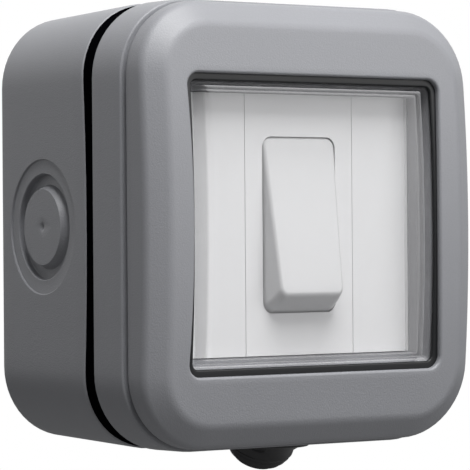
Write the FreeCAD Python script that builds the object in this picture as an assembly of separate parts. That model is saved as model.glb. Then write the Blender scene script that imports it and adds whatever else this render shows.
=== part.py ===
"""Outdoor weatherproof rocker switch: a surface box with a rubber-sealed front.

Lengths are millimetres. X is to the right, Z is up and the front looks along -Y.
The origin is the centre of the back face, which lies on the wall, and a "depth"
is a distance out from the wall, so depth d is the plane y = -d.
"""
import FreeCAD
import Part
import math
import os

os.makedirs("parts", exist_ok=True)
V = FreeCAD.Vector

# Overall form: corners and draught of the shells, borders from the window to their rim
CORNER_RADIUS = 17.0
DRAFT_DEG = 1.2
SIDE_BORDER = 10.6
TOP_BORDER = 16.3

# Depths of the outer shells, out from the wall
BOX_DEPTH = 38.4
GASKET_THICKNESS = 2.4
HOUSING_DEPTH = 11.8
BEZEL_DEPTH = 11.1
FRONT_BOW_RADIUS = 342.0
RIM_BOW_RADIUS = 500.0

# Walls
BOX_WALL = 2.4
BOX_FLOOR = 2.6
HOUSING_WALL = 2.4
HOUSING_DECK = 2.0
BEZEL_WALL = 2.0
BACK_EDGE_RADIUS = 1.0

# Gasket section
GASKET_INSET = 0.35
GASKET_LAP = 0.8

# Bezel details
BEZEL_LEDGE = 0.6
BEZEL_GROOVE = 1.3
BEZEL_GROOVE_IN = 1.0
CROWN_FACE = 4.7
CROWN_SIDE = 3.0
CROWN_OUTER_RADIUS = 2.4
CROWN_INNER_RADIUS = 3.5
WINDOW_SIDE_MARGIN = 3.65
WINDOW_TOP_MARGIN = 3.7
WINDOW_WAIST = 0.85
WINDOW_CORNER = 3.0
WINDOW_LIP = 1.2
WINDOW_EDGE_RADIUS = 0.6

# Seal and clear cover in the window
SEAL_THICKNESS = 1.0
SEAL_LIP = 1.1
SEAL_SEAT = 2.2
SEAL_SEAT_GAP = 0.1
COVER_SKIN = 0.8
COVER_GROOVE_WIDTH = 2.4
COVER_FLOOR_GAP = 1.0
COVER_PANE = 0.4
COVER_WELL_GAP = 0.15
COVER_CORNER = 2.5
WELL_WALL = 2.6

# White plates behind the window
PLATE_RECESS = 6.9
PLATE_TOP_LAP = 5.3
PLATE_THICKNESS = 2.0
PLATE_GAP = 0.15
INFILL_WIDTH = 15.05
MODULE_SIDE_LAP = 1.6

# Moulded frame behind the plates
FRAME_THICKNESS = 2.0
FRAME_WALL_GAP = 4.9
FRAME_BOSS_GAP = 0.6
FRAME_STEP_GAP = 0.2
FRAME_POCKET_HALF = 6.0
FRAME_POCKET_HEIGHT = 22.0

# Rocker, its pivot and travel
ROCKER_HALF_WIDTH = 9.2
ROCKER_HALF_HEIGHT = 18.5
ROCKER_PROUD = 5.2
ROCKER_PIVOT_DEPTH = 8.7
ROCKER_SIDE_TAPER = 0.226
ROCKER_CORNER = 2.0
ROCKER_EDGE_RADIUS = 0.6
ROCKER_SKIRT_HEIGHT = 4.2
ROCKER_WALL = 1.5
ROCKER_GAP = 0.35
TRUNNION_RADIUS = 1.5
TRUNNION_LENGTH = 1.7
EAR_HALF_WIDTH = 4.5
CHEEK_HALF_WIDTH = 3.0
ROCKER_WEB = 1.4
PIVOT_CLEARANCE = 0.08

# Plunger and spring in the rocker
PLUNGER_RADIUS = 1.6
PLUNGER_REACH = 12.0
PLUNGER_LENGTH = 9.0
BOSS_WALL = 1.2
BOSS_REACH = 7.5
SPRING_WIRE = 0.35
SPRING_TURNS = 7

# Contacts
LEVER_HALF_LENGTH = 10.0
LEVER_HALF_WIDTH = 2.6
LEVER_THICKNESS = 0.9
LEVER_TILT_DEG = 6.0
LEVER_TIP_GAP = 0.05
CONTACT_Z = 8.0
CONTACT_RADIUS = 1.6
CONTACT_HEIGHT = 0.7
CONTACT_STRAP = 0.8
CONTACT_GAP = 0.06
KNIFE_GAP = 0.06
KNIFE_RADIUS = 0.6

# Switch case behind the module plate
CASE_WALL = 1.4
CASE_SIDE_GAP = 0.1
CASE_SWING_GAP = 0.75
CASE_CORNER = 1.0
CASE_RAIL = 1.0
TERMINAL_END_GAP = 3.8
TERMINAL_HALF_WIDTH = 4.2
TERMINAL_HALF_HEIGHT = 3.4
TERMINAL_DEPTH = 6.0
TERMINAL_BORE = 1.5
TERMINAL_SCREW_RADIUS = 1.5
TERMINAL_SCREW_HEAD = 1.9
TERMINAL_SCREW_HEIGHT = 1.1
TERMINAL_SCREW_GRIP = 1.6
ACCESS_GAP = 0.3

# Fasteners and bosses of the box
BOSS_SIDE_OFFSET = 0.3
BOSS_HEAD_GAP = 0.7
BOX_BOSS_RADIUS = 4.2
BOSS_WEB = 2.0
SCREW_RADIUS = 1.75
SCREW_HEAD_RADIUS = 3.2
SCREW_HEAD_HEIGHT = 2.2
SCREW_GRIP = 12.0
SCREW_CLEARANCE = 0.25
WASHER_THICKNESS = 0.8
THREAD_GAP = 0.05
FRAME_SCREW_RADIUS = 1.3
FRAME_SCREW_HEAD = 2.4
FRAME_SCREW_HEIGHT = 1.6
FRAME_SCREW_LENGTH = 6.5
FRAME_SCREW_GAP = 0.9
FRAME_LUG_RIM = 0.8
HEAD_GAP = 0.3
DRIVE_SLOT_WIDTH = 0.8
DRIVE_SLOT_SHARE = 0.45
HEAD_EDGE_SHARE = 0.33

# Wall fixing slots and rear entry
FIXING_SPACING = 60.3
FIXING_SLOT_WIDTH = 4.8
FIXING_SLOT_LENGTH = 8.0
REAR_ENTRY_RADIUS = 10.3
REAR_GROOVE_WIDTH = 1.2
REAR_GROOVE_DEPTH = 1.6

# Conduit knock-outs on the sides and top
KNOCKOUT_RECESS_RADIUS = 14.6
KNOCKOUT_RECESS = 0.75
KNOCKOUT_RING_RADIUS = 11.5
KNOCKOUT_RING_DEPTH = 1.9
KNOCKOUT_DISC_RADIUS = 9.2
KNOCKOUT_DISC_BEVEL = 0.95
KNOCKOUT_DIMPLE_RADIUS = 0.65

# Cable grommet in the bottom wall
GROMMET_X = 16.0
GROMMET_HOLE_RADIUS = 8.0
GROMMET_FLANGE_RADIUS = 10.4
GROMMET_FLANGE = 1.6
GROMMET_LEAN_DEG = 24.0
GROMMET_RINGS = 4
GROMMET_RING_STEP = 1.5
GROMMET_RING_PITCH = 1.9
GROMMET_NECK_GAP = 0.1
GROMMET_WALL = 1.4

# Brass terminals on the floor of the box
BLOCK_HALF_WIDTH = 5.0
BLOCK_HALF_HEIGHT = 4.0
BLOCK_DEPTH = 8.0
BLOCK_TOP_GAP = 18.9
BLOCK_X = 12.0
BLOCK_BORE = 1.9
BLOCK_BORE_DEPTH = 3.0
BLOCK_SCREW_GRIP = 2.8
PEDESTAL_DEPTH = 3.0
PEDESTAL_MARGIN = 1.0

# Derived sizes: the rocker sets its case, the case its plates, and these the window and shells
ROCKER_ARC = math.hypot(ROCKER_HALF_HEIGHT, ROCKER_PIVOT_DEPTH)
CASE_HALF_WIDTH = ROCKER_HALF_WIDTH + TRUNNION_LENGTH + CASE_SIDE_GAP + CASE_WALL
CASE_HALF_HEIGHT = ROCKER_ARC + CASE_SWING_GAP + CASE_WALL
MODULE_HALF_WIDTH = CASE_HALF_WIDTH + MODULE_SIDE_LAP
PLATE_HALF_WIDTH = MODULE_HALF_WIDTH + INFILL_WIDTH
PLATE_HALF_HEIGHT = CASE_HALF_HEIGHT + PLATE_TOP_LAP
WINDOW_HALF_WIDTH = PLATE_HALF_WIDTH + WINDOW_SIDE_MARGIN
WINDOW_HALF_HEIGHT = PLATE_HALF_HEIGHT + WINDOW_TOP_MARGIN
HALF_WIDTH = WINDOW_HALF_WIDTH + SIDE_BORDER
HALF_HEIGHT = WINDOW_HALF_HEIGHT + TOP_BORDER
SLOPE = math.tan(math.radians(DRAFT_DEG))
WELL_OUTSIDE = WELL_WALL - SEAL_LIP
BOSS_X = WINDOW_HALF_WIDTH + BOSS_SIDE_OFFSET
BOSS_Z = WINDOW_HALF_HEIGHT + WELL_OUTSIDE + SCREW_HEAD_RADIUS + BOSS_HEAD_GAP
FRAME_HALF_WIDTH = HALF_WIDTH - HOUSING_WALL - FRAME_WALL_GAP
FRAME_HALF_HEIGHT = BOSS_Z - BOX_BOSS_RADIUS - FRAME_BOSS_GAP
FRAME_SCREW_Z = WINDOW_HALF_HEIGHT + WELL_WALL + FRAME_SCREW_HEAD + FRAME_SCREW_GAP
TERMINAL_Z = CASE_HALF_HEIGHT - CASE_WALL - TERMINAL_END_GAP - TERMINAL_HALF_HEIGHT
BLOCK_Z = HALF_HEIGHT - BLOCK_TOP_GAP

# Derived depths, out from the wall
HOUSING_BACK = BOX_DEPTH + GASKET_THICKNESS
HOUSING_FRONT = HOUSING_BACK + HOUSING_DEPTH
CREST = HOUSING_FRONT + BEZEL_DEPTH
WINDOW_PLANE = CREST - WINDOW_HALF_HEIGHT ** 2 / (2 * FRONT_BOW_RADIUS)
PLATE_FRONT = WINDOW_PLANE - PLATE_RECESS
PLATE_BACK = PLATE_FRONT - PLATE_THICKNESS
FRAME_BASE = HOUSING_FRONT - HOUSING_DECK - FRAME_THICKNESS
FRAME_SCREW_TIP = FRAME_BASE + FRAME_SCREW_LENGTH
PIVOT = PLATE_FRONT - ROCKER_PIVOT_DEPTH
PROUD_Z = math.sqrt(ROCKER_ARC ** 2 - (ROCKER_PIVOT_DEPTH + ROCKER_PROUD) ** 2)
ROCKER_TILT = math.atan2(ROCKER_PROUD, ROCKER_HALF_HEIGHT + PROUD_Z)
FACE_HEIGHT = ROCKER_HALF_HEIGHT * math.sin(ROCKER_TILT) + ROCKER_PIVOT_DEPTH * math.cos(ROCKER_TILT)
REST_TILT = -ROCKER_TILT
BOSS_RADIUS = PLUNGER_RADIUS + PIVOT_CLEARANCE + BOSS_WALL
BORE_TOP = FACE_HEIGHT - ROCKER_WALL - BOSS_WALL
LEVER_TILT = math.radians(LEVER_TILT_DEG)
LEVER_FRONT = PIVOT - PLUNGER_REACH - LEVER_TIP_GAP
LEVER_PIVOT = LEVER_FRONT - LEVER_THICKNESS
CONTACT_REACH = CONTACT_Z + CONTACT_RADIUS
CONTACT_SWING = CONTACT_HEIGHT * math.cos(LEVER_TILT) + CONTACT_REACH * math.sin(LEVER_TILT)
FIXED_CONTACT = LEVER_PIVOT - CONTACT_SWING - CONTACT_GAP
TERMINAL_FRONT = FIXED_CONTACT - CONTACT_HEIGHT - CONTACT_STRAP
CASE_INSIDE = TERMINAL_FRONT - TERMINAL_DEPTH
CASE_REAR_DEPTH = CASE_INSIDE - CASE_WALL
BLOCK_BASE = BOX_FLOOR + PEDESTAL_DEPTH


def rounded_wire(half_w, half_h, radius, depth):
    """Rounded rectangle in the plane at this depth, centred on the Y axis."""
    y = -depth
    w, h, r = half_w, half_h, radius
    k = r * (1 - math.sqrt(0.5))
    points = [(w - r, h), (w - k, h - k), (w, h - r), (w, r - h), (w - k, k - h), (w - r, -h),
              (r - w, -h), (k - w, k - h), (-w, r - h), (-w, h - r), (k - w, h - k), (r - w, h)]
    p = [V(x, y, z) for x, z in points]
    edges = []
    for i in range(0, 12, 3):
        edges.append(Part.Arc(p[i], p[i + 1], p[i + 2]).toShape())
        edges.append(Part.LineSegment(p[i + 2], p[(i + 3) % 12]).toShape())
    return Part.Wire(edges)


def prism(half_w, half_h, radius, depth0, depth1):
    """Straight rounded block between two depths."""
    face = Part.Face(rounded_wire(half_w, half_h, radius, depth0))
    return face.extrude(V(0, depth0 - depth1, 0))


def drafted(half_w, half_h, radius, depth_rim, depth0, depth1, sign):
    """Rounded block whose sides lean in by the draft away from depth_rim."""
    wires = []
    for depth in (depth0, depth1):
        inset = SLOPE * abs(depth - depth_rim) * sign
        wires.append(rounded_wire(half_w - inset, half_h - inset, radius - inset, depth))
    return Part.makeLoft(wires, True, True)


def block(x0, x1, depth0, depth1, z0, z1):
    """Plain block between two depths."""
    return Part.makeBox(x1 - x0, depth1 - depth0, z1 - z0, V(x0, -depth1, z0))


def rod(x, z, radius, depth0, depth1):
    """Round bar that runs straight out from the wall."""
    return Part.makeCylinder(radius, depth1 - depth0, V(x, -depth0, z), V(0, -1, 0))


def bowed(crest_depth, radius):
    """Everything behind a front that bows about a level axis, crest at mid height."""
    long = 4 * HALF_WIDTH
    return Part.makeCylinder(radius, long, V(-long / 2, radius - crest_depth, 0), V(1, 0, 0))


def fuse(shapes):
    """One clean solid from several that meet."""
    whole = shapes[0].fuse(shapes[1:]) if len(shapes) > 1 else shapes[0]
    return whole.removeSplitter()


def front_bow(inset):
    """Solid behind the front face, set back by inset along its normal."""
    return bowed(CREST - inset, FRONT_BOW_RADIUS - inset)


def corners(x, z):
    """The four mirrored places of a pattern."""
    return [(sx * x, sz * z) for sx in (1, -1) for sz in (1, -1)]


def screw(x, z, radius, head_radius, head_height, seat, tip):
    """Slotted pan-head screw whose head stands on the seat depth, away from the tip."""
    out = 1 if seat > tip else -1
    top = seat + out * head_height
    head = rod(x, z, head_radius, min(seat, top), max(seat, top))
    rim = [e for e in head.Edges if abs(e.BoundBox.YMin + top) < 0.01 and abs(e.BoundBox.YMax + top) < 0.01]
    head = head.makeFillet(head_height * HEAD_EDGE_SHARE, rim)
    shank = rod(x, z, radius, min(tip, seat), max(tip, seat))
    slot_end = top - out * head_height * DRIVE_SLOT_SHARE
    half = DRIVE_SLOT_WIDTH / 2
    slot = block(x - head_radius, x + head_radius, min(slot_end, top), max(slot_end, top), z - half, z + half)
    return fuse([head.cut(slot), shank])


def save(name, shape):
    """Write one node."""
    shape.exportStep("parts/" + name + ".step")


# Back box: one moulding with its knock-outs, bosses and fixing slots

def knockout_cutters(face_point, outward):
    """What a moulded knock-out takes out of a wall: recess, ring and dimple."""
    inward = outward * -1
    start = face_point - inward * 2
    recess = Part.makeCylinder(KNOCKOUT_RECESS_RADIUS, 2 + KNOCKOUT_RECESS, start, inward)
    ring = Part.makeCylinder(KNOCKOUT_RING_RADIUS, 2 + KNOCKOUT_RING_DEPTH, start, inward)
    top_radius = KNOCKOUT_DISC_RADIUS - KNOCKOUT_DISC_BEVEL
    base = face_point + inward * KNOCKOUT_RING_DEPTH
    disc = Part.makeCone(KNOCKOUT_DISC_RADIUS, top_radius, KNOCKOUT_RING_DEPTH, base, outward)
    dimple = Part.makeSphere(KNOCKOUT_DIMPLE_RADIUS, face_point)
    return [recess.fuse(ring).cut(disc), dimple]


def box_half(depth, wall):
    """Half width and half height of the box at a depth, less a wall."""
    inset = SLOPE * (BOX_DEPTH - depth) + wall
    return HALF_WIDTH - inset, HALF_HEIGHT - inset


def make_back_box():
    outer = drafted(HALF_WIDTH, HALF_HEIGHT, CORNER_RADIUS, BOX_DEPTH, 0, BOX_DEPTH, 1)
    back_edges = [e for e in outer.Edges if e.BoundBox.YMin > -0.01]
    outer = outer.makeFillet(BACK_EDGE_RADIUS, back_edges)
    inner = drafted(HALF_WIDTH - BOX_WALL, HALF_HEIGHT - BOX_WALL, CORNER_RADIUS - BOX_WALL,
                    BOX_DEPTH, BOX_FLOOR, BOX_DEPTH + 1, 1)
    shell = outer.cut(inner)
    adds = []
    cuts = []
    for x, z in corners(BOSS_X, BOSS_Z):
        half = BOSS_WEB / 2
        web = block(min(x, 2 * x), max(x, 2 * x), 0, BOX_DEPTH, z - half, z + half)
        rib = block(x - half, x + half, 0, BOX_DEPTH, min(z, 2 * z), max(z, 2 * z))
        column = rod(x, z, BOX_BOSS_RADIUS, BOX_FLOOR / 2, BOX_DEPTH)
        adds.append(column.fuse([web, rib]).common(outer))
        cuts.append(rod(x, z, SCREW_RADIUS + THREAD_GAP, BOX_DEPTH - SCREW_GRIP - 1, BOX_DEPTH + 1))
    half_w = BLOCK_HALF_WIDTH + PEDESTAL_MARGIN
    half_h = BLOCK_HALF_HEIGHT + PEDESTAL_MARGIN
    for x in (BLOCK_X, -BLOCK_X):
        adds.append(block(x - half_w, x + half_w, BOX_FLOOR / 2, BLOCK_BASE, BLOCK_Z - half_h, BLOCK_Z + half_h))
    half = FIXING_SLOT_WIDTH / 2
    run = (FIXING_SLOT_LENGTH - FIXING_SLOT_WIDTH) / 2
    for x in (FIXING_SPACING / 2, -FIXING_SPACING / 2):
        cuts.append(rod(x + run, 0, half, -1, BOX_FLOOR + 1))
        cuts.append(rod(x - run, 0, half, -1, BOX_FLOOR + 1))
        cuts.append(block(x - run, x + run, -1, BOX_FLOOR + 1, -half, half))
    groove = rod(0, 0, REAR_ENTRY_RADIUS + REAR_GROOVE_WIDTH, -1, REAR_GROOVE_DEPTH)
    cuts.append(groove.cut(rod(0, 0, REAR_ENTRY_RADIUS, -1, REAR_GROOVE_DEPTH)))
    middle = BOX_DEPTH / 2
    side, top = box_half(middle, 0)
    lean_cos = math.cos(math.radians(DRAFT_DEG))
    lean_sin = math.sin(math.radians(DRAFT_DEG))
    cuts += knockout_cutters(V(-side, -middle, 0), V(-lean_cos, lean_sin, 0))
    cuts += knockout_cutters(V(side, -middle, 0), V(lean_cos, lean_sin, 0))
    cuts += knockout_cutters(V(0, -middle, top), V(0, lean_sin, lean_cos))
    cuts.append(Part.makeCylinder(GROMMET_HOLE_RADIUS, 4 * BOX_WALL, V(GROMMET_X, -middle, 2 * BOX_WALL - top), V(0, 0, -1)))
    whole = fuse([shell] + adds).cut(cuts)
    return whole.common(bowed(BOX_DEPTH, RIM_BOW_RADIUS))


def make_grommet():
    """Stepped rubber cone, leaning back to the wall, with a groove that grips the wall."""
    middle = BOX_DEPTH / 2
    outside = -box_half(middle, 0)[1]
    inside = -box_half(middle, BOX_WALL)[1]
    tilt = SLOPE * GROMMET_FLANGE_RADIUS + GROMMET_NECK_GAP
    neck_radius = GROMMET_HOLE_RADIUS - GROMMET_NECK_GAP
    top_z = inside + tilt + GROMMET_FLANGE
    base_z = outside - tilt
    down = V(0, 0, -1)
    inner_flange = Part.makeCylinder(GROMMET_FLANGE_RADIUS, GROMMET_FLANGE, V(GROMMET_X, -middle, top_z), down)
    neck = Part.makeCylinder(neck_radius, top_z - base_z, V(GROMMET_X, -middle, top_z), down)
    outer_flange = Part.makeCylinder(GROMMET_FLANGE_RADIUS, GROMMET_FLANGE, V(GROMMET_X, -middle, base_z), down)
    lean = math.radians(GROMMET_LEAN_DEG)
    axis = V(0, math.sin(lean), -math.cos(lean))
    below = block(-HALF_WIDTH, HALF_WIDTH, -BOX_DEPTH, 2 * BOX_DEPTH, 2 * base_z, base_z - GROMMET_FLANGE / 2)
    rings = []
    radius = GROMMET_FLANGE_RADIUS - GROMMET_RING_STEP
    centre = V(GROMMET_X, -middle, base_z - GROMMET_FLANGE / 2)
    for i in range(GROMMET_RINGS):
        ring = Part.makeCylinder(radius, 2 * GROMMET_RING_PITCH, centre - axis * GROMMET_RING_PITCH, axis)
        rings.append(ring.common(below))
        centre = centre + axis * GROMMET_RING_PITCH
        radius -= GROMMET_RING_STEP
    body = fuse([inner_flange, neck, outer_flange] + rings)
    hollow = Part.makeCone(neck_radius - GROMMET_WALL, radius, top_z - base_z + GROMMET_RING_PITCH * GROMMET_RINGS,
                           V(GROMMET_X, -middle, top_z), down)
    return body.cut(hollow)


back_box = make_back_box()
save("back_box", back_box)
save("cable_grommet", make_grommet())


# Gasket between box and front housing: follows the box rim, flat in front

def make_gasket():
    inset = GASKET_INSET
    ring = prism(HALF_WIDTH - inset, HALF_HEIGHT - inset, CORNER_RADIUS - inset, BOX_DEPTH / 2, HOUSING_BACK)
    width = BOX_WALL + GASKET_LAP
    hole = prism(HALF_WIDTH - width, HALF_HEIGHT - width, CORNER_RADIUS - width, 0, HOUSING_BACK + 1)
    return ring.cut([hole, bowed(BOX_DEPTH, RIM_BOW_RADIUS)])


save("box_gasket", make_gasket())


# Front housing: outer band, deck, window well and screw columns

def well_half(margin):
    """Half sizes of the window well, grown by a margin."""
    return WINDOW_HALF_WIDTH - SEAL_LIP + margin, WINDOW_HALF_HEIGHT - SEAL_LIP + margin


def make_front_housing():
    outer = drafted(HALF_WIDTH, HALF_HEIGHT, CORNER_RADIUS, HOUSING_BACK, HOUSING_BACK, HOUSING_FRONT, 1)
    wall = HOUSING_WALL
    inner = drafted(HALF_WIDTH - wall, HALF_HEIGHT - wall, CORNER_RADIUS - wall,
                    HOUSING_BACK, HOUSING_BACK, HOUSING_FRONT - HOUSING_DECK, 1)
    adds = [outer.cut(inner)]
    well_w, well_h = well_half(WELL_WALL)
    well = prism(well_w, well_h, WINDOW_CORNER + WELL_WALL, HOUSING_FRONT - HOUSING_DECK, CREST)
    adds.append(well.common(front_bow(WINDOW_LIP + SEAL_THICKNESS + COVER_SKIN)))
    cuts = []
    in_w, in_h = well_half(0)
    cuts.append(prism(in_w, in_h, WINDOW_CORNER - SEAL_LIP, PLATE_FRONT, CREST))
    cuts.append(prism(in_w, in_h, WINDOW_CORNER - SEAL_LIP, HOUSING_BACK, PLATE_BACK))
    pocket = PLATE_GAP
    cuts.append(block(-PLATE_HALF_WIDTH - pocket, PLATE_HALF_WIDTH + pocket, PLATE_BACK - 1, PLATE_FRONT + 1,
                      -PLATE_HALF_HEIGHT - pocket, PLATE_HALF_HEIGHT + pocket))
    for x, z in corners(BOSS_X, BOSS_Z):
        adds.append(rod(x, z, BOX_BOSS_RADIUS, HOUSING_BACK, HOUSING_FRONT))
        cuts.append(rod(x, z, SCREW_RADIUS + SCREW_CLEARANCE, HOUSING_BACK - 1, HOUSING_FRONT + 1))
    for z in (FRAME_SCREW_Z, -FRAME_SCREW_Z):
        adds.append(rod(0, z, FRAME_SCREW_HEAD, HOUSING_FRONT - HOUSING_DECK, FRAME_SCREW_TIP + HOUSING_DECK / 2))
        cuts.append(rod(0, z, FRAME_SCREW_RADIUS + THREAD_GAP, HOUSING_BACK, FRAME_SCREW_TIP + HEAD_GAP))
    return fuse(adds).cut(cuts).removeSplitter()


save("front_housing", make_front_housing())


# Bezel: bowed front, bevelled crown, waisted window, groove at its back edge

def bezel_half(inset):
    """Half sizes and corner radius of the bezel at its back edge."""
    drop = SLOPE * HOUSING_DEPTH + BEZEL_LEDGE + inset
    return HALF_WIDTH - drop, HALF_HEIGHT - drop, CORNER_RADIUS - drop


def bezel_block(inset):
    """Outer or inner body of the bezel, with its rim bevelled and no window."""
    half_w, half_h, radius = bezel_half(inset)
    raw = drafted(half_w, half_h, radius, HOUSING_FRONT, HOUSING_FRONT, CREST + 2, 1).common(front_bow(inset))
    rim = [e for e in raw.Edges if e.BoundBox.YMax < -(HOUSING_FRONT + 2)]
    return raw.makeChamfer(CROWN_SIDE, CROWN_FACE, rim)


def bevel_edges(shape, outer):
    """Loop of edges outside or inside the bevel, without those that cross it."""
    half_w, half_h, _ = bezel_half(CROWN_FACE / 2)
    found = []
    for edge in shape.Edges:
        box = edge.BoundBox
        beyond = max(-box.XMin, box.XMax) > half_w or max(-box.ZMin, box.ZMax) > half_h
        if box.YMax < -(HOUSING_FRONT + 2) and edge.Length > 1.5 * CROWN_FACE and beyond == outer:
            found.append(edge)
    return found


def window_block(depth0, depth1):
    """Window opening: waisted sides, level top and bottom, rounded corners."""
    w, h, waist, y = WINDOW_HALF_WIDTH, WINDOW_HALF_HEIGHT, WINDOW_WAIST, -depth0
    p = [V(-w, y, h), V(w, y, h), V(w - waist, y, 0), V(w, y, -h), V(-w, y, -h), V(waist - w, y, 0)]
    edges = [Part.LineSegment(p[0], p[1]).toShape(), Part.Arc(p[1], p[2], p[3]).toShape(),
             Part.LineSegment(p[3], p[4]).toShape(), Part.Arc(p[4], p[5], p[0]).toShape()]
    solid = Part.Face(Part.Wire(edges)).extrude(V(0, depth0 - depth1, 0))
    posts = [e for e in solid.Edges if e.BoundBox.YLength > depth1 - depth0 - 0.01]
    return solid.makeFillet(WINDOW_CORNER, posts)


def make_bezel():
    outer = bezel_block(0)
    outer = outer.makeFillet(CROWN_INNER_RADIUS, bevel_edges(outer, False))
    outer = outer.makeFillet(CROWN_OUTER_RADIUS, bevel_edges(outer, True))
    half_w, half_h, radius = bezel_half(0)
    rim = prism(half_w + 1, half_h + 1, radius, HOUSING_FRONT, HOUSING_FRONT + BEZEL_GROOVE)
    keep = BEZEL_GROOVE_IN
    rim = rim.cut(prism(half_w - keep, half_h - keep, radius - keep, HOUSING_FRONT - 1, CREST))
    seat = prism(WINDOW_HALF_WIDTH + SEAL_SEAT, WINDOW_HALF_HEIGHT + SEAL_SEAT, WINDOW_CORNER + SEAL_SEAT,
                 HOUSING_FRONT, CREST).common(front_bow(WINDOW_LIP))
    shell = outer.cut([bezel_block(BEZEL_WALL), rim, seat, window_block(HOUSING_FRONT, CREST + 2)])
    shell = shell.cut(bezel_screw_room())
    lip = [e for e in shell.Edges if window_lip_edge(e)]
    return shell.makeFillet(WINDOW_EDGE_RADIUS, lip)


def bezel_screw_room():
    """Room under the crown for the washers and heads of the housing screws."""
    top = HOUSING_FRONT + WASHER_THICKNESS + SCREW_HEAD_HEIGHT + HEAD_GAP
    return [rod(x, z, SCREW_HEAD_RADIUS + HEAD_GAP, HOUSING_FRONT, top) for x, z in corners(BOSS_X, BOSS_Z)]


def window_lip_edge(edge):
    """Front edges of the window opening."""
    box = edge.BoundBox
    inside = max(-box.XMin, box.XMax) < WINDOW_HALF_WIDTH + 0.01 and max(-box.ZMin, box.ZMax) < WINDOW_HALF_HEIGHT + 0.01
    mid = edge.valueAt((edge.FirstParameter + edge.LastParameter) / 2)
    on_front = abs(math.hypot(mid.y - (FRONT_BOW_RADIUS - CREST), mid.z) - FRONT_BOW_RADIUS) < 0.01
    return inside and on_front and edge.Length > 1


save("front_bezel", make_bezel())


# Seal and clear cover: both follow the bow of the front

def make_seal():
    seat = SEAL_SEAT - SEAL_SEAT_GAP
    ring = prism(WINDOW_HALF_WIDTH + seat, WINDOW_HALF_HEIGHT + seat, WINDOW_CORNER + seat, PLATE_FRONT, CREST)
    ring = ring.common(front_bow(WINDOW_LIP)).cut(front_bow(WINDOW_LIP + SEAL_THICKNESS))
    lip_w, lip_h = well_half(0)
    return ring.cut(prism(lip_w, lip_h, WINDOW_CORNER - SEAL_LIP, PLATE_FRONT - 1, CREST + 1))


def make_cover():
    """Flexible clear moulding: rim, rolled groove and a raised pane over the rocker."""
    skin = COVER_SKIN
    top = WINDOW_LIP + SEAL_THICKNESS
    seat = SEAL_SEAT - SEAL_SEAT_GAP
    floor = PLATE_FRONT + COVER_FLOOR_GAP
    outer, inner = COVER_CORNER, COVER_CORNER - skin
    flange = prism(WINDOW_HALF_WIDTH + seat, WINDOW_HALF_HEIGHT + seat, WINDOW_CORNER + seat, floor, CREST)
    flange = flange.common(front_bow(top)).cut(front_bow(top + skin))
    tub_w, tub_h = well_half(-COVER_WELL_GAP)
    tub = prism(tub_w, tub_h, outer, floor, CREST).common(front_bow(top))
    room_w, room_h = well_half(-COVER_WELL_GAP - skin)
    room = prism(room_w, room_h, inner, floor + skin, CREST + 1)
    wide = room_w - COVER_GROOVE_WIDTH
    high = room_h - COVER_GROOVE_WIDTH
    pane = prism(wide, high, outer, floor, CREST).common(front_bow(COVER_PANE))
    under = prism(wide - skin, high - skin, inner, floor - 1, CREST).common(front_bow(COVER_PANE + skin))
    flange = flange.cut(prism(tub_w, tub_h, outer, floor - 1, CREST + 1))
    return fuse([flange, tub.cut(room), pane]).cut(under).removeSplitter()


save("window_seal", make_seal())
save("clear_cover", make_cover())


# White plates and the frame that carries them

def make_infill(side):
    near = MODULE_HALF_WIDTH + PLATE_GAP / 2
    low, high = sorted((side * near, side * PLATE_HALF_WIDTH))
    return block(low, high, PLATE_BACK, PLATE_FRONT, -PLATE_HALF_HEIGHT, PLATE_HALF_HEIGHT)


def about_pivot(shape, angle):
    """Turn a shape about the rocker's axis."""
    turned = shape.copy()
    turned.rotate(V(0, -PIVOT, 0), V(1, 0, 0), math.degrees(angle))
    return turned


def pivot_bar(radius, x0, x1):
    """Round bar on the rocker's axis."""
    return Part.makeCylinder(radius, x1 - x0, V(x0, -PIVOT, 0), V(1, 0, 0))


def sector(half_x, radius, low, high):
    """Rocker-shaped block about the pivot, level, between two heights above it."""
    slab = block(-half_x, half_x, PIVOT + low, PIVOT + high, -radius, radius)
    return slab.common(pivot_bar(radius, -half_x, half_x))


def rounded_ends(shape, radius):
    """Round the four edges that run outward at the ends of a sector."""
    posts = []
    for edge in shape.Edges:
        box = edge.BoundBox
        if box.XLength < 0.01 and box.YLength > 2 and box.ZLength < 0.7 * box.YLength:
            posts.append(edge)
    return shape.makeFillet(radius, posts)


def make_module_frame():
    plate = block(-MODULE_HALF_WIDTH + PLATE_GAP / 2, MODULE_HALF_WIDTH - PLATE_GAP / 2, PLATE_BACK, PLATE_FRONT,
                  -PLATE_HALF_HEIGHT, PLATE_HALF_HEIGHT)
    gap = ROCKER_GAP
    height = PLATE_FRONT - PIVOT
    opening = sector(ROCKER_HALF_WIDTH + gap, ROCKER_ARC + gap, height - PLATE_THICKNESS - 2, height + 2)
    opening = rounded_ends(opening, ROCKER_CORNER + gap)
    adds = [plate.cut(opening)]
    for side in (1, -1):
        low, high = sorted((side * (ROCKER_HALF_WIDTH + gap), side * (ROCKER_HALF_WIDTH + TRUNNION_LENGTH)))
        ear = block(low, high, PIVOT, PLATE_BACK, -EAR_HALF_WIDTH, EAR_HALF_WIDTH)
        ear = ear.fuse(pivot_bar(EAR_HALF_WIDTH, low, high))
        adds.append(ear.cut(pivot_bar(TRUNNION_RADIUS + PIVOT_CLEARANCE, low - 1, high + 1)))
    return fuse(adds)


def side_taper(side):
    """What the taper takes off one side of the rocker in front of the plate."""
    far = 2 * ROCKER_ARC
    taper = block(ROCKER_HALF_WIDTH, ROCKER_HALF_WIDTH + far, PLATE_FRONT, PLATE_FRONT + far, -far, far)
    taper.rotate(V(ROCKER_HALF_WIDTH, -PLATE_FRONT, 0), V(0, 0, 1), -math.degrees(math.atan(ROCKER_SIDE_TAPER)))
    return taper if side > 0 else taper.mirror(V(0, 0, 0), V(1, 0, 0))


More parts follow.
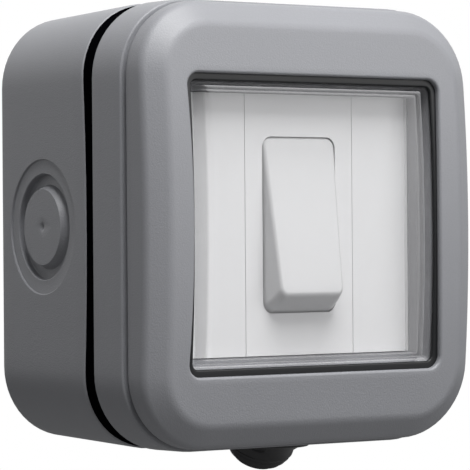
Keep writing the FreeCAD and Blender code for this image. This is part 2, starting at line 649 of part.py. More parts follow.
def rocker_hollow():
    """Inside of the rocker's shell, narrower in front where its sides taper."""
    wall = ROCKER_WALL
    far = 2 * ROCKER_ARC
    wide = ROCKER_HALF_WIDTH - wall
    narrow = wide - ROCKER_SIDE_TAPER * ROCKER_PROUD
    whole = sector(wide, ROCKER_ARC - wall, ROCKER_SKIRT_HEIGHT - wall, FACE_HEIGHT - wall)
    front = block(-narrow, narrow, PIVOT, PIVOT + far, -far, far)
    rear = block(-wide, wide, PIVOT, PIVOT + FACE_HEIGHT - ROCKER_PROUD, -far, far)
    return whole.common(fuse([front, rear]))


def make_rocker():
    """Flat-faced rocker shown with its top pressed in, its lower end proud."""
    wall = ROCKER_WALL
    body = rounded_ends(sector(ROCKER_HALF_WIDTH, ROCKER_ARC, ROCKER_SKIRT_HEIGHT, FACE_HEIGHT), ROCKER_CORNER)
    body = about_pivot(body, REST_TILT).cut([side_taper(1), side_taper(-1)])
    body = body.makeFillet(ROCKER_EDGE_RADIUS, [e for e in body.Edges if rocker_face_edge(e)])
    parts = [body.cut(about_pivot(rocker_hollow(), REST_TILT))]
    inside = ROCKER_HALF_WIDTH - wall
    for side in (1, -1):
        low, high = sorted((side * inside, side * ROCKER_HALF_WIDTH))
        cheek = block(low, high, PIVOT, PIVOT + ROCKER_SKIRT_HEIGHT + wall, -CHEEK_HALF_WIDTH, CHEEK_HALF_WIDTH)
        parts.append(about_pivot(cheek.fuse(pivot_bar(CHEEK_HALF_WIDTH, low, high)), REST_TILT))
        low, high = sorted((side * inside, side * (ROCKER_HALF_WIDTH + TRUNNION_LENGTH)))
        parts.append(pivot_bar(TRUNNION_RADIUS, low, high))
    face_back = PIVOT + FACE_HEIGHT - wall / 2
    boss = rod(0, 0, BOSS_RADIUS, PIVOT - BOSS_REACH, face_back)
    web_x = ROCKER_HALF_WIDTH - wall / 2
    web = block(-web_x, web_x, PIVOT - TRUNNION_RADIUS, face_back, -ROCKER_WEB / 2, ROCKER_WEB / 2)
    parts.append(about_pivot(boss.fuse(web), REST_TILT))
    bore = rod(0, 0, PLUNGER_RADIUS + PIVOT_CLEARANCE, PIVOT - PLUNGER_REACH, PIVOT + BORE_TOP)
    return fuse(parts).cut(about_pivot(bore, REST_TILT))


def rocker_face_edge(edge):
    """Edges round the face of the rocker, in its rest tilt."""
    normal = V(0, -math.cos(REST_TILT), -math.sin(REST_TILT))
    for t in (edge.FirstParameter, (edge.FirstParameter + edge.LastParameter) / 2, edge.LastParameter):
        if abs((edge.valueAt(t) - V(0, -PIVOT, 0)).dot(normal) - FACE_HEIGHT) > 0.02:
            return False
    return True


save("left_infill", make_infill(-1))
save("right_infill", make_infill(1))
save("module_frame", make_module_frame())
save("rocker", make_rocker())


# Frame behind the plates, its screws, and the long screws of the housing

def make_mounting_frame():
    base = block(-FRAME_HALF_WIDTH, FRAME_HALF_WIDTH, FRAME_BASE, FRAME_BASE + FRAME_THICKNESS,
                 -FRAME_HALF_HEIGHT, FRAME_HALF_HEIGHT)
    lug = FRAME_SCREW_HEAD + FRAME_LUG_RIM
    tongue = block(-lug, lug, FRAME_BASE, FRAME_BASE + FRAME_THICKNESS, -FRAME_SCREW_Z, FRAME_SCREW_Z)
    rounds = [rod(0, z, lug, FRAME_BASE, FRAME_BASE + FRAME_THICKNESS) for z in (FRAME_SCREW_Z, -FRAME_SCREW_Z)]
    step_w, step_h = well_half(-FRAME_STEP_GAP)
    step = prism(step_w, step_h, WINDOW_CORNER - SEAL_LIP - FRAME_STEP_GAP, FRAME_BASE, PLATE_BACK)
    gap = FRAME_STEP_GAP
    opening = block(-CASE_HALF_WIDTH - gap, CASE_HALF_WIDTH + gap, FRAME_BASE - 1, PLATE_BACK + 1,
                    -CASE_HALF_HEIGHT - gap, CASE_HALF_HEIGHT + gap)
    cuts = [opening]
    for side in (1, -1):
        middle = side * (CASE_HALF_WIDTH + step_w) / 2
        cuts.append(block(middle - FRAME_POCKET_HALF, middle + FRAME_POCKET_HALF, FRAME_BASE - 1,
                          PLATE_BACK - FRAME_THICKNESS, -FRAME_POCKET_HEIGHT, FRAME_POCKET_HEIGHT))
    for z in (FRAME_SCREW_Z, -FRAME_SCREW_Z):
        cuts.append(rod(0, z, FRAME_SCREW_RADIUS + SCREW_CLEARANCE, FRAME_BASE - 1, HOUSING_FRONT))
    return fuse([base, tongue, step] + rounds).cut(cuts).removeSplitter()


def make_housing_screws():
    seat = HOUSING_FRONT + WASHER_THICKNESS
    tip = BOX_DEPTH - SCREW_GRIP
    return Part.makeCompound([screw(x, z, SCREW_RADIUS, SCREW_HEAD_RADIUS, SCREW_HEAD_HEIGHT, seat, tip)
                              for x, z in corners(BOSS_X, BOSS_Z)])


def make_screw_washers():
    rings = []
    for x, z in corners(BOSS_X, BOSS_Z):
        disc = rod(x, z, SCREW_HEAD_RADIUS, HOUSING_FRONT, HOUSING_FRONT + WASHER_THICKNESS)
        rings.append(disc.cut(rod(x, z, SCREW_RADIUS + THREAD_GAP, HOUSING_BACK, CREST)))
    return Part.makeCompound(rings)


def make_frame_screws():
    return Part.makeCompound([screw(0, z, FRAME_SCREW_RADIUS, FRAME_SCREW_HEAD, FRAME_SCREW_HEIGHT,
                                    FRAME_BASE, FRAME_SCREW_TIP) for z in (FRAME_SCREW_Z, -FRAME_SCREW_Z)])


save("mounting_frame", make_mounting_frame())
save("frame_screws", make_frame_screws())
save("housing_screws", make_housing_screws())
save("screw_washers", make_screw_washers())


# Switch case, terminals and contacts behind the rocker

def make_case():
    """Case open to the plate, with a closed guide from each side to each terminal for its wire."""
    outer = block(-CASE_HALF_WIDTH, CASE_HALF_WIDTH, CASE_REAR_DEPTH, PLATE_BACK, -CASE_HALF_HEIGHT, CASE_HALF_HEIGHT)
    outer = outer.makeFillet(CASE_CORNER, [e for e in outer.Edges if e.BoundBox.YLength > CASE_WALL])
    room = block(CASE_WALL - CASE_HALF_WIDTH, CASE_HALF_WIDTH - CASE_WALL, CASE_INSIDE, PLATE_BACK + 1,
                 CASE_WALL - CASE_HALF_HEIGHT, CASE_HALF_HEIGHT - CASE_WALL)
    cuts = [room]
    guides = []
    rail_z = TERMINAL_HALF_HEIGHT - CASE_RAIL
    for z in (TERMINAL_Z, 0, -TERMINAL_Z):
        cuts.append(rod(0, z, TERMINAL_SCREW_HEAD + ACCESS_GAP, CASE_REAR_DEPTH - 1, CASE_INSIDE + 1))
        for side in (1, -1):
            start = V(side * (CASE_HALF_WIDTH - CASE_WALL - 1), -(CASE_INSIDE + TERMINAL_FRONT) / 2, z)
            cuts.append(Part.makeCylinder(TERMINAL_BORE + ACCESS_GAP, CASE_WALL + 2, start, V(side, 0, 0)))
            low, high = sorted((side * TERMINAL_HALF_WIDTH, side * (CASE_HALF_WIDTH - CASE_WALL)))
            guides.append(block(low, high, CASE_INSIDE, TERMINAL_FRONT, z + rail_z, z + rail_z + CASE_RAIL))
            guides.append(block(low, high, CASE_INSIDE, TERMINAL_FRONT, z - rail_z - CASE_RAIL, z - rail_z))
            guides.append(block(low, high, TERMINAL_FRONT - CASE_RAIL, TERMINAL_FRONT, z - rail_z, z + rail_z))
    return fuse([outer.cut(cuts)] + guides)


def terminal_block(z):
    """Brass block on the case floor, bored for the wire and for its screw."""
    body = block(-TERMINAL_HALF_WIDTH, TERMINAL_HALF_WIDTH, CASE_INSIDE, TERMINAL_FRONT,
                 z - TERMINAL_HALF_HEIGHT, z + TERMINAL_HALF_HEIGHT)
    middle = (CASE_INSIDE + TERMINAL_FRONT) / 2
    wire = Part.makeCylinder(TERMINAL_BORE, 2 * TERMINAL_HALF_WIDTH, V(-TERMINAL_HALF_WIDTH, -middle, z), V(1, 0, 0))
    tapped = rod(0, z, TERMINAL_SCREW_RADIUS + THREAD_GAP, CASE_INSIDE, middle)
    return body.cut([wire, tapped])


def make_common():
    """Middle terminal with the round-topped blade that the lever rocks on."""
    top = LEVER_PIVOT - KNIFE_GAP - KNIFE_RADIUS
    blade = block(-LEVER_HALF_WIDTH, LEVER_HALF_WIDTH, TERMINAL_FRONT, top, -KNIFE_RADIUS, KNIFE_RADIUS)
    nose = Part.makeCylinder(KNIFE_RADIUS, 2 * LEVER_HALF_WIDTH, V(-LEVER_HALF_WIDTH, -top, 0), V(1, 0, 0))
    return fuse([terminal_block(0), blade, nose])


def make_way(side):
    """Upper or lower terminal, whose strap carries the fixed contact to the lever."""
    z = side * TERMINAL_Z
    low, high = sorted((side * (CONTACT_Z - CONTACT_RADIUS), z + side * TERMINAL_HALF_HEIGHT))
    strap_front = FIXED_CONTACT - CONTACT_HEIGHT
    strap = block(-LEVER_HALF_WIDTH, LEVER_HALF_WIDTH, TERMINAL_FRONT, strap_front, low, high)
    button = rod(0, side * CONTACT_Z, CONTACT_RADIUS, strap_front, FIXED_CONTACT)
    return fuse([terminal_block(z), strap, button])


def make_terminal_screws():
    tip = CASE_INSIDE + TERMINAL_SCREW_GRIP
    return Part.makeCompound([screw(0, z, TERMINAL_SCREW_RADIUS, TERMINAL_SCREW_HEAD, TERMINAL_SCREW_HEIGHT,
                                    CASE_INSIDE, tip) for z in (TERMINAL_Z, 0, -TERMINAL_Z)])


def make_lever():
    """Rocking contact: a copper strip with a button at each end, lower end closed."""
    strip = block(-LEVER_HALF_WIDTH, LEVER_HALF_WIDTH, LEVER_PIVOT, LEVER_FRONT, -LEVER_HALF_LENGTH, LEVER_HALF_LENGTH)
    buttons = [rod(0, z, CONTACT_RADIUS, LEVER_PIVOT - CONTACT_HEIGHT, LEVER_PIVOT) for z in (CONTACT_Z, -CONTACT_Z)]
    lever = fuse([strip] + buttons)
    lever.rotate(V(0, -LEVER_PIVOT, 0), V(1, 0, 0), LEVER_TILT_DEG)
    return lever


def make_plunger():
    """Round-nosed pin that the rocker's spring presses on the lever."""
    rear = PIVOT - PLUNGER_REACH
    pin = rod(0, 0, PLUNGER_RADIUS, rear + PLUNGER_RADIUS, rear + PLUNGER_LENGTH)
    nose = Part.makeSphere(PLUNGER_RADIUS, V(0, -(rear + PLUNGER_RADIUS), 0))
    return about_pivot(fuse([pin, nose]), REST_TILT)


def half_coil(z, rise, coil):
    """Half turn of the spring's wire from x = coil at height z to x = -coil, risen by rise."""
    section = Part.Face(Part.Wire(Part.Circle(V(coil, 0, z), V(0, 1, 0), SPRING_WIRE / 2).toShape()))
    return section.revolve(V(0, 0, z + rise / 2), V(rise / 2, 0, coil), 180)


def make_spring():
    """Coil spring between the plunger and the end of its bore, in half turns that rise in turn."""
    start = PIVOT - PLUNGER_REACH + PLUNGER_LENGTH + SPRING_WIRE / 2
    end = PIVOT + BORE_TOP - SPRING_WIRE / 2
    coil = PLUNGER_RADIUS - SPRING_WIRE / 2
    rise = (end - start) / (2 * SPRING_TURNS)
    halves = []
    for k in range(2 * SPRING_TURNS):
        half = half_coil(0, rise, coil)
        half.rotate(V(0, 0, 0), V(0, 0, 1), 180 * k)
        half.translate(V(0, 0, k * rise))
        halves.append(half)
    spring = fuse(halves)
    spring.rotate(V(0, 0, 0), V(1, 0, 0), 90)
    spring.translate(V(0, -start, 0))
    return about_pivot(spring, REST_TILT)


save("switch_case", make_case())
save("common_terminal", make_common())
save("first_way_terminal", make_way(1))
save("second_way_terminal", make_way(-1))
save("terminal_screws", make_terminal_screws())
save("contact_lever", make_lever())
save("plunger", make_plunger())
save("plunger_spring", make_spring())


# Brass terminals for earth and loop wires on the floor of the box

def make_box_terminal(x):
    body = block(x - BLOCK_HALF_WIDTH, x + BLOCK_HALF_WIDTH, BLOCK_BASE, BLOCK_BASE + BLOCK_DEPTH,
                 BLOCK_Z - BLOCK_HALF_HEIGHT, BLOCK_Z + BLOCK_HALF_HEIGHT)
    bore_depth = BLOCK_BASE + BLOCK_BORE_DEPTH
    wire = Part.makeCylinder(BLOCK_BORE, 2 * BLOCK_HALF_HEIGHT, V(x, -bore_depth, BLOCK_Z - BLOCK_HALF_HEIGHT))
    tapped = rod(x, BLOCK_Z, TERMINAL_SCREW_RADIUS + THREAD_GAP, bore_depth, BLOCK_BASE + BLOCK_DEPTH)
    return body.cut([wire, tapped])


def make_box_screw(x):
    seat = BLOCK_BASE + BLOCK_DEPTH
    return screw(x, BLOCK_Z, TERMINAL_SCREW_RADIUS, TERMINAL_SCREW_HEAD, TERMINAL_SCREW_HEIGHT,
                 seat, seat - BLOCK_SCREW_GRIP)


save("earth_terminal", make_box_terminal(-BLOCK_X))
save("loop_terminal", make_box_terminal(BLOCK_X))
save("earth_screw", make_box_screw(-BLOCK_X))
save("loop_screw", make_box_screw(BLOCK_X))
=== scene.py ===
# %% [markdown]
# # An outdoor weatherproof switch
# The grey shells of this switch are moulded plastic with soft edges, so their look is mostly
# form: a bowed, bevelled bezel, long draughted sides and thin dark joints. This lesson loads
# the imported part, works each visible shell out as a grid of points, gives every piece a
# finish made from nodes, and lights it softly from above.

# %% Load the frame
import math
import bpy
import numpy as np
from mathutils import Matrix


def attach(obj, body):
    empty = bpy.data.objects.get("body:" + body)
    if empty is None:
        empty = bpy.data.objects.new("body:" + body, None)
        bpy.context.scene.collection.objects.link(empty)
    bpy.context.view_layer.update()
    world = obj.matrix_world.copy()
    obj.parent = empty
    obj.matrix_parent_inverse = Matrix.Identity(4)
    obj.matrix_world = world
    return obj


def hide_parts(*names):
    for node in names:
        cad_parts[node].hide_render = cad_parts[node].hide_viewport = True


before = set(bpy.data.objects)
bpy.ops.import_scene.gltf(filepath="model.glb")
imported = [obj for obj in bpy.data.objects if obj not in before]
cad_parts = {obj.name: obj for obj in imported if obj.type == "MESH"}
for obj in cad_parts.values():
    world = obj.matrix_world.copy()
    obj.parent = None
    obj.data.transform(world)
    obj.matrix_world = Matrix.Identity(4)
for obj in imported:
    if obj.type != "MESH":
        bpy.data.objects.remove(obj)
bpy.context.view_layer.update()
scene = bpy.context.scene
scene.view_settings.view_transform = "Standard"

# %% [markdown]
# ## The sizes
# Everything is worked out in millimetres and turned into metres at the end. Depth means the
# distance out from the wall, so a point at depth d has y = -d. These are the same driving
# sizes as in the solid model. The three extra sizes belong to the scene alone, because the
# photograph shows a little more there than the solid model has: the gasket is wider, the
# cover's fold lies nearer the wall of the well, and the seal stands further into the window.
# The grommet and the recess of the knock-outs have their own sizes for the same reason.

# %% Sizes of the shells
MM = 0.001
HALF_WIDTH, HALF_HEIGHT, CORNER = 43.3, 47.893, 17.0
SLOPE = math.tan(math.radians(1.2))
BOX_DEPTH, HOUSING_BACK, HOUSING_FRONT, CREST = 38.4, 40.8, 52.6, 63.7
FRONT_BOW, RIM_BOW = 342.0, 500.0
BOX_WALL, BOX_FLOOR, HOUSING_WALL, HOUSING_DECK, BEZEL_WALL = 2.4, 2.6, 2.4, 2.0, 2.0
WINDOW_WIDTH, WINDOW_HEIGHT, WINDOW_WAIST, WINDOW_CORNER = 32.7, 31.593, 0.85, 3.0
WINDOW_LIP, SEAL_THICKNESS, COVER_SKIN, SEAL_LIP, SEAL_SEAT = 1.2, 1.0, 0.8, 1.1, 2.1
WINDOW_PLANE = CREST - WINDOW_HEIGHT ** 2 / (2 * FRONT_BOW)
PLATE_SETBACK, PLATE_THICKNESS, PLATE_WIDTH, ROCKER_DEPTH = 6.9, 2.0, 29.2, 8.7
PLATE_FRONT = WINDOW_PLANE - PLATE_SETBACK
PLATE_BACK = PLATE_FRONT - PLATE_THICKNESS
PIVOT = PLATE_FRONT - ROCKER_DEPTH
EXTRA_GASKET, EXTRA_FOLD, EXTRA_SEAL = 0.6, 1.9, 0.5
print("window plane", round(WINDOW_PLANE, 2), "plate front", round(PLATE_FRONT, 2))

# %% [markdown]
# ## Outlines and rows
# A moulded ring, such as a bezel, is one closed profile carried round a rounded rectangle.
# It could be swept with a curve and a bevel object, but then its corners would pinch. Here
# each row of a grid is the rounded rectangle at one point of the profile, and every row has
# the same number of points, so that rows join into quads.

# %% Outline and rows
ARC_STEPS, SIDE_STEPS = 14, 20


def outline(half_w, half_h, corner, waist=0.0):
    """Rounded rectangle: a quarter circle at each corner, even steps along the sides.

    The waist draws the sides in: x is scaled by 1 - waist / half width * (1 - (z / half height) ** 2).
    """
    angle = np.linspace(0, math.pi / 2, ARC_STEPS + 1)
    corners = []
    for i, (sx, sz) in enumerate(((1, 1), (-1, 1), (-1, -1), (1, -1))):
        a = angle + i * math.pi / 2
        centre = np.array([sx * (half_w - corner), sz * (half_h - corner)])
        corners.append(centre + corner * np.stack([np.cos(a), np.sin(a)], 1))
    step = (np.arange(1, SIDE_STEPS) / SIDE_STEPS)[:, None]
    points = []
    for i in range(4):
        start, end = corners[i][-1], corners[(i + 1) % 4][0]
        points += [corners[i], start + (end - start) * step]
    loop = np.concatenate(points)
    loop[:, 0] *= 1 - waist / half_w * (1 - (loop[:, 1] / half_h) ** 2)
    return loop


def shell_outline(drop):
    """Outline of the outer shells, drawn in by drop on every side."""
    return outline(HALF_WIDTH - drop, HALF_HEIGHT - drop, CORNER - drop)


def bow(z, crest, radius):
    """Depth of a front that bows about a level axis: crest less the sagitta at height z."""
    return crest - (radius - np.sqrt(radius ** 2 - z ** 2))


def row(loop, depth):
    """Puts a flat outline at a depth, which is a number or one number per point."""
    return np.stack([loop[:, 0], -depth * np.ones(len(loop)), loop[:, 1]], 1)


def front_row(loop, below):
    """Puts an outline on the bowed front, moved back by below."""
    return row(loop, bow(loop[:, 1], CREST, FRONT_BOW) - below)


print("points in a row", len(shell_outline(0)))

# %% [markdown]
# ## Soft edges
# Moulded plastic has no sharp edge, because the mould is cut with a round tool. A Bevel
# modifier would round all the edges alike. Here each corner of a profile gets its own
# fillet, an arc that is found from the headings of the two runs that it joins.

# %% Rounded profiles
def rounded(points, radii, steps):
    """Profile with an arc in place of each inner corner: the heading turns evenly along the arc."""
    points = [np.array(p, float) for p in points]
    out = [points[0]]
    for before, at, after, radius in zip(points, points[1:], points[2:], radii):
        if radius <= 0:
            out.append(at)
            continue
        u = (at - before) / np.linalg.norm(at - before)
        v = (after - at) / np.linalg.norm(after - at)
        turn = math.atan2(u[0] * v[1] - u[1] * v[0], float(u @ v))
        start = at - u * radius * math.tan(abs(turn) / 2)
        heading = math.atan2(u[1], u[0])
        bend = heading + np.linspace(0, turn, steps + 1)
        r = radius * math.copysign(1, turn)
        along, across = np.sin(bend) - math.sin(heading), math.cos(heading) - np.cos(bend)
        out += list(start + r * np.stack([along, across], 1))
    return np.array(out + [points[-1]])


def fillet(before, corner, after, radius, steps):
    """Arc alone in one corner; the points before and after it only give the directions."""
    return rounded([before, corner, after], [radius], steps)[1:-1]


def between(first, last, steps):
    """Rows that blend evenly from one row to another, without the two ends."""
    t = (np.arange(1, steps) / steps)[:, None, None]
    return list(first + (last - first) * t)


print("middle of a unit fillet", np.round(fillet((1, 0), (0, 0), (0, 1), 1, steps=2)[1], 3))

# %% [markdown]
# ## From rows to a mesh
# A ring's profile is closed, so its last row joins its first. The mesh is built from points
# and faces in one step, which is quicker than an operator for each face and gives the same
# mesh every time. Smooth shading hides the facets, and edges over an angle stay crisp.

# %% Mesh helpers
SHARP_ANGLE = 35


def smooth(mesh, sharp=SHARP_ANGLE):
    """Smooth shading, with edges over the angle kept crisp."""
    mesh.polygons.foreach_set("use_smooth", np.ones(len(mesh.polygons), bool))
    mesh.set_sharp_from_angle(angle=math.radians(sharp))


def mesh_object(name, points, faces, sharp=SHARP_ANGLE):
    """Object at the origin from points in millimetres.

    Faces are turned outwards by the enclosed volume, the sum of a . (b x c) over the triangles.
    """
    mesh = bpy.data.meshes.new(name)
    mesh.from_pydata((np.asarray(points) * MM).tolist(), [], faces)
    mesh.update()
    obj = bpy.data.objects.new(name, mesh)
    scene.collection.objects.link(obj)
    tris = np.array([(f[0], f[i], f[i + 1]) for f in faces for i in range(1, len(f) - 1)])
    p = np.asarray(points, float)[tris]
    if np.einsum("ij,ij->i", p[:, 0], np.cross(p[:, 1], p[:, 2])).sum() < 0:
        mesh.flip_normals()
    smooth(mesh, sharp)
    return obj


def indexed(rows):
    """Points of a grid of rows, and the number of each point in the same grid."""
    grid = np.array(rows)
    return grid.reshape(-1, 3), np.arange(grid.shape[0] * grid.shape[1]).reshape(grid.shape[:2])


def quads_between(lower, upper):
    """Quads between each row of lower and the same row of upper; columns wrap."""
    quads = np.stack([lower, np.roll(lower, -1, 1), np.roll(upper, -1, 1), upper], -1)
    return quads.reshape(-1, 4).tolist()


def shell(name, rows):
    """Ring: quads between neighbours, and both rows and columns wrap."""
    points, index = indexed(rows)
    return mesh_object(name, points, quads_between(index, np.roll(index, -1, 0)))


print("edges over", SHARP_ANGLE, "degrees stay crisp")

# %% [markdown]
# ## Node expressions
# A finish is a small graph of nodes. Writing `noise * 0.3 + 0.5` is easier to read than a
# list of links, so one class wraps a socket and turns operators into Math nodes.

# %% Shader helper
class Graph:
    """Makes nodes in the tree of one material, or of a world."""

    def __init__(self, owner, output="ShaderNodeOutputMaterial"):
        self.owner = owner
        owner.use_nodes = True
        self.tree = owner.node_tree
        self.tree.nodes.clear()
        self.output = self.tree.nodes.new(output)

    def node(self, kind, settings=None, inputs=None, out=0):
        """One node: its settings first, then the values or links of its sockets."""
        made = self.tree.nodes.new(kind)
        for key, value in (settings or {}).items():
            setattr(made, key, value)
        for key, value in (inputs or {}).items():
            if isinstance(value, Wire):
                self.tree.links.new(value.socket, made.inputs[key])
            else:
                made.inputs[key].default_value = value
        return Wire(self, made.outputs[out])

    def surface(self, shader):
        """Links a shader to the output and hands back the material or world."""
        self.tree.links.new(shader.socket, self.output.inputs["Surface"])
        return self.owner


class Wire:
    """A socket that can be used in sums; each operator adds Math nodes."""

    def __init__(self, graph, socket):
        self.graph = graph
        self.socket = socket

    def math(self, operation, *others):
        inputs = dict(enumerate((self,) + others))
        return self.graph.node("ShaderNodeMath", {"operation": operation}, inputs)

    def __add__(self, other):
        return self.math("ADD", other)

    def __mul__(self, other):
        return self.math("MULTIPLY", other)

    def __rsub__(self, other):
        return (self * -1) + other


trial = Graph(bpy.data.materials.new("trial"))
trial.node("ShaderNodeTexNoise") * 0.3 + 0.5
print("nodes for noise * 0.3 + 0.5:", len(trial.tree.nodes) - 1)
bpy.data.materials.remove(trial.owner)

# %% [markdown]
# ## Plastic and rubber
# Moulded grey plastic has a fine spark-eroded grain, so its shine is broad and slightly
# uneven. A picture of the grain would do, but noise in object space has the same size on
# every piece and needs no unwrapping. Rubber is the same graph with a shallower grain, and the
# white plates get almost no grain, because they come from a polished mould.

# %% Plastics and rubbers
def linear(red, green, blue):
    """Scene colour of a screen colour in 0 to 255: ((c + 0.055) / 1.055) ** 2.4, or c / 12.92 if dark."""
    c = np.array([red, green, blue]) / 255
    return tuple(np.where(c <= 0.04045, c / 12.92, ((c + 0.055) / 1.055) ** 2.4)) + (1.0,)


def moulded(name, colour, roughness, grain=0.06, scale=3000.0, mottle=0.12, gloss=0.5):
    """Plastic or rubber with a grain, its height in millimetres and its scale in cells per metre.

    The tint goes from colour * (1 - mottle) to colour * (1 + mottle) by 0.6 * fine + 0.4 * broad noise.
    Roughness is the given one less 0.055, plus 0.06 * fine + 0.05 * broad noise, which average 0.055.
    """
    g = Graph(bpy.data.materials.new(name))
    place = g.node("ShaderNodeTexCoord", out="Object")
    grit = {"Vector": place, "Scale": scale, "Detail": 3.0, "Roughness": 0.6}
    fine = g.node("ShaderNodeTexNoise", inputs=grit)
    broad = g.node("ShaderNodeTexNoise", inputs={"Vector": place, "Scale": 35.0, "Detail": 2.0})
    pale = tuple(min(1.0, c * (1 + mottle)) for c in colour[:3]) + (1.0,)
    deep = tuple(c * (1 - mottle) for c in colour[:3]) + (1.0,)
    shades = {"Factor": fine * 0.6 + broad * 0.4, 6: deep, 7: pale}
    tint = g.node("ShaderNodeMix", {"data_type": "RGBA"}, shades, out=2)
    bump = g.node("ShaderNodeBump", inputs={"Strength": 1.0, "Distance": grain * MM, "Height": fine})
    rough = fine * 0.06 + broad * 0.05 + (roughness - 0.055)
    body = g.node("ShaderNodeBsdfPrincipled", inputs={"Base Color": tint, "Roughness": rough,
                                                      "Normal": bump, "Specular IOR Level": gloss})
    return g.surface(body)


RUBBER = {"grain": 0.01, "scale": 1200.0}
POLISHED = {"grain": 0.006, "mottle": 0.012}
grey = moulded("moulded_grey", linear(129, 130, 134), 0.46)
black = moulded("seal_rubber", linear(20, 21, 23), 0.4, gloss=0.3, **RUBBER)
gasket_rubber = moulded("gasket_rubber", linear(5, 5, 7), 0.7, gloss=0.0, **RUBBER)
grommet_rubber = moulded("grommet_rubber", linear(26, 26, 28), 0.35, gloss=0.45, **RUBBER)
white = moulded("moulded_white", linear(214, 214, 215), 0.45, **POLISHED)
rocker_white = moulded("rocker_white", linear(194, 194, 195), 0.45, **POLISHED)
inner_grey = moulded("inner_grey", linear(186, 188, 191), 0.55, mottle=0.02)
case_white = moulded("case_white", linear(214, 215, 216), 0.5, mottle=0.02)
pin_grey = moulded("pin_grey", linear(150, 151, 153), 0.4, mottle=0.02)
print("shells", grey.name, np.round(linear(129, 130, 134)[0], 3))

# %% [markdown]
# ## Metal and clear film
# Brass, copper and zinc need full Metallic and a little unevenness in the shine, so that
# they don't look like mirrors. The clear cover is so thin that light isn't bent by it. Real
# glass would show dark edges and stop the light, so it is a mix of see-through and gloss
# that shines more at a glancing angle and lets shadow rays through.

# %% Metals and clear film
def metal(name, colour, roughness):
    """Plated or plain metal with faint tumbling marks: roughness is the given one - 0.1 + 0.2 * noise."""
    g = Graph(bpy.data.materials.new(name))
    place = g.node("ShaderNodeTexCoord", out="Object")
    marks = g.node("ShaderNodeTexNoise", inputs={"Vector": place, "Scale": 900.0, "Detail": 4.0})
    bump = g.node("ShaderNodeBump", inputs={"Strength": 0.6, "Distance": 0.02 * MM, "Height": marks})
    rough = marks * 0.2 + (roughness - 0.1)
    body = g.node("ShaderNodeBsdfPrincipled", inputs={"Base Color": colour, "Metallic": 1.0,
                                                      "Normal": bump, "Roughness": rough})
    return g.surface(body)


def clear_film(name, sheen=0.9):
    """Thin clear plastic; the share of its gloss, which sits on a grey base of painted sheen, is sheen *
    (0.03 + 0.9 * (1 - cosine) ** 1.6).
    """
    g = Graph(bpy.data.materials.new(name))
    lit = 1 - g.node("ShaderNodeLightPath", out="Is Shadow Ray")
    grazing = g.node("ShaderNodeLayerWeight", inputs={"Blend": 0.5}, out="Facing")
    edge = grazing.math("POWER", 1.6) * 0.9 + 0.03
    through = g.node("ShaderNodeBsdfTransparent", inputs={"Color": (1, 1, 1, 1)})
    # The gloss layer's grey base colour is painted sheen: at a glancing angle it lightens the film as
    # reflected light would, on top of the real gloss.
    painted_sheen = {"Base Color": (0.5, 0.5, 0.51, 1), "Roughness": 0.2}
    gloss = g.node("ShaderNodeBsdfPrincipled", inputs=painted_sheen)
    return g.surface(g.node("ShaderNodeMixShader", inputs={0: edge * sheen * lit, 1: through, 2: gloss}))


film = clear_film("clear_film")
brass = metal("terminal_brass", linear(208, 176, 104), 0.32)
copper = metal("contact_copper", linear(205, 140, 105), 0.28)
zinc = metal("zinc_plate", linear(196, 198, 200), 0.34)
print("made", film.name, brass.name, copper.name, zinc.name)

# %% [markdown]
# ## Inner pieces
# Plates, terminals and screws come from the solid model as they are: flat plates and turned
# pins have nothing that a second mesh would add. They only need their finish. Every piece
# made here instead says which node it stands for, and which body it moves with.

# %% Dress the solid model's own pieces
node_finish = {
    "left_infill": white, "right_infill": white, "module_frame": white,
    "mounting_frame": inner_grey, "switch_case": case_white, "plunger": pin_grey,
    "common_terminal": brass, "first_way_terminal": brass, "second_way_terminal": brass,
    "earth_terminal": brass, "loop_terminal": brass, "contact_lever": copper,
    "plunger_spring": zinc, "terminal_screws": zinc, "frame_screws": zinc, "housing_screws": zinc,
    "earth_screw": zinc, "loop_screw": zinc, "screw_washers": black,
}
for node, finish in node_finish.items():
    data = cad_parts[node].data
    data.materials.clear()
    data.materials.append(finish)
print("dressed", len(node_finish), "nodes")


def dress(obj, finish, slot, *nodes, body="body"):
    """Finish and body for a piece; hides and prints the nodes that it stands for. The slot is not used."""
    obj.data.materials.append(finish)
    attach(obj, body)
    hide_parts(*nodes)
    print(obj.name, len(obj.data.polygons), "faces for", *nodes)


# %% [markdown]
# ## The bezel
# The bezel snaps on over the housing. Its face bows about a level axis and meets the
# draughted side in a wide bevel, with soft edges above and below it. The window's sides pull
# in a little at mid height. One closed profile with its own fillets gives the outside, the
# lip of the window, the seat of the seal and the inside, so wall and edges stay even.

# %% Bezel
BEZEL_STEP, BOW_MEAN = 0.6, 1.0
BEZEL_DROP = SLOPE * (HOUSING_FRONT - HOUSING_BACK) + BEZEL_STEP
CROWN_FACE, CROWN_SIDE, CROWN_FACE_RADIUS, CROWN_SIDE_RADIUS = 4.7, 3.0, 3.5, 2.4
GROOVE_HEIGHT, GROOVE_INSET, GROOVE_EDGE, MOUTH_EDGE, SEAT_GAP = 1.3, 1.0, 0.25, 0.6, 0.1


def bezel_row(inset, below):
    """Row at an inset from the bezel's leaning side and a distance behind the bowed front."""
    drop = BEZEL_DROP + inset + SLOPE * (CREST - BOW_MEAN - below - HOUSING_FRONT)
    return front_row(shell_outline(drop), below)


def bezel_back_row(inset, depth):
    """Row at an inset from the bezel's side, at one depth all round."""
    return row(shell_outline(BEZEL_DROP + inset), depth)


def window_row(outward, below):
    """Row round the waisted window, outward from its edge and behind the bowed front."""
    corner = max(WINDOW_CORNER + outward, 0.4)
    loop = outline(WINDOW_WIDTH + outward, WINDOW_HEIGHT + outward, corner, WINDOW_WAIST)
    return front_row(loop, below)


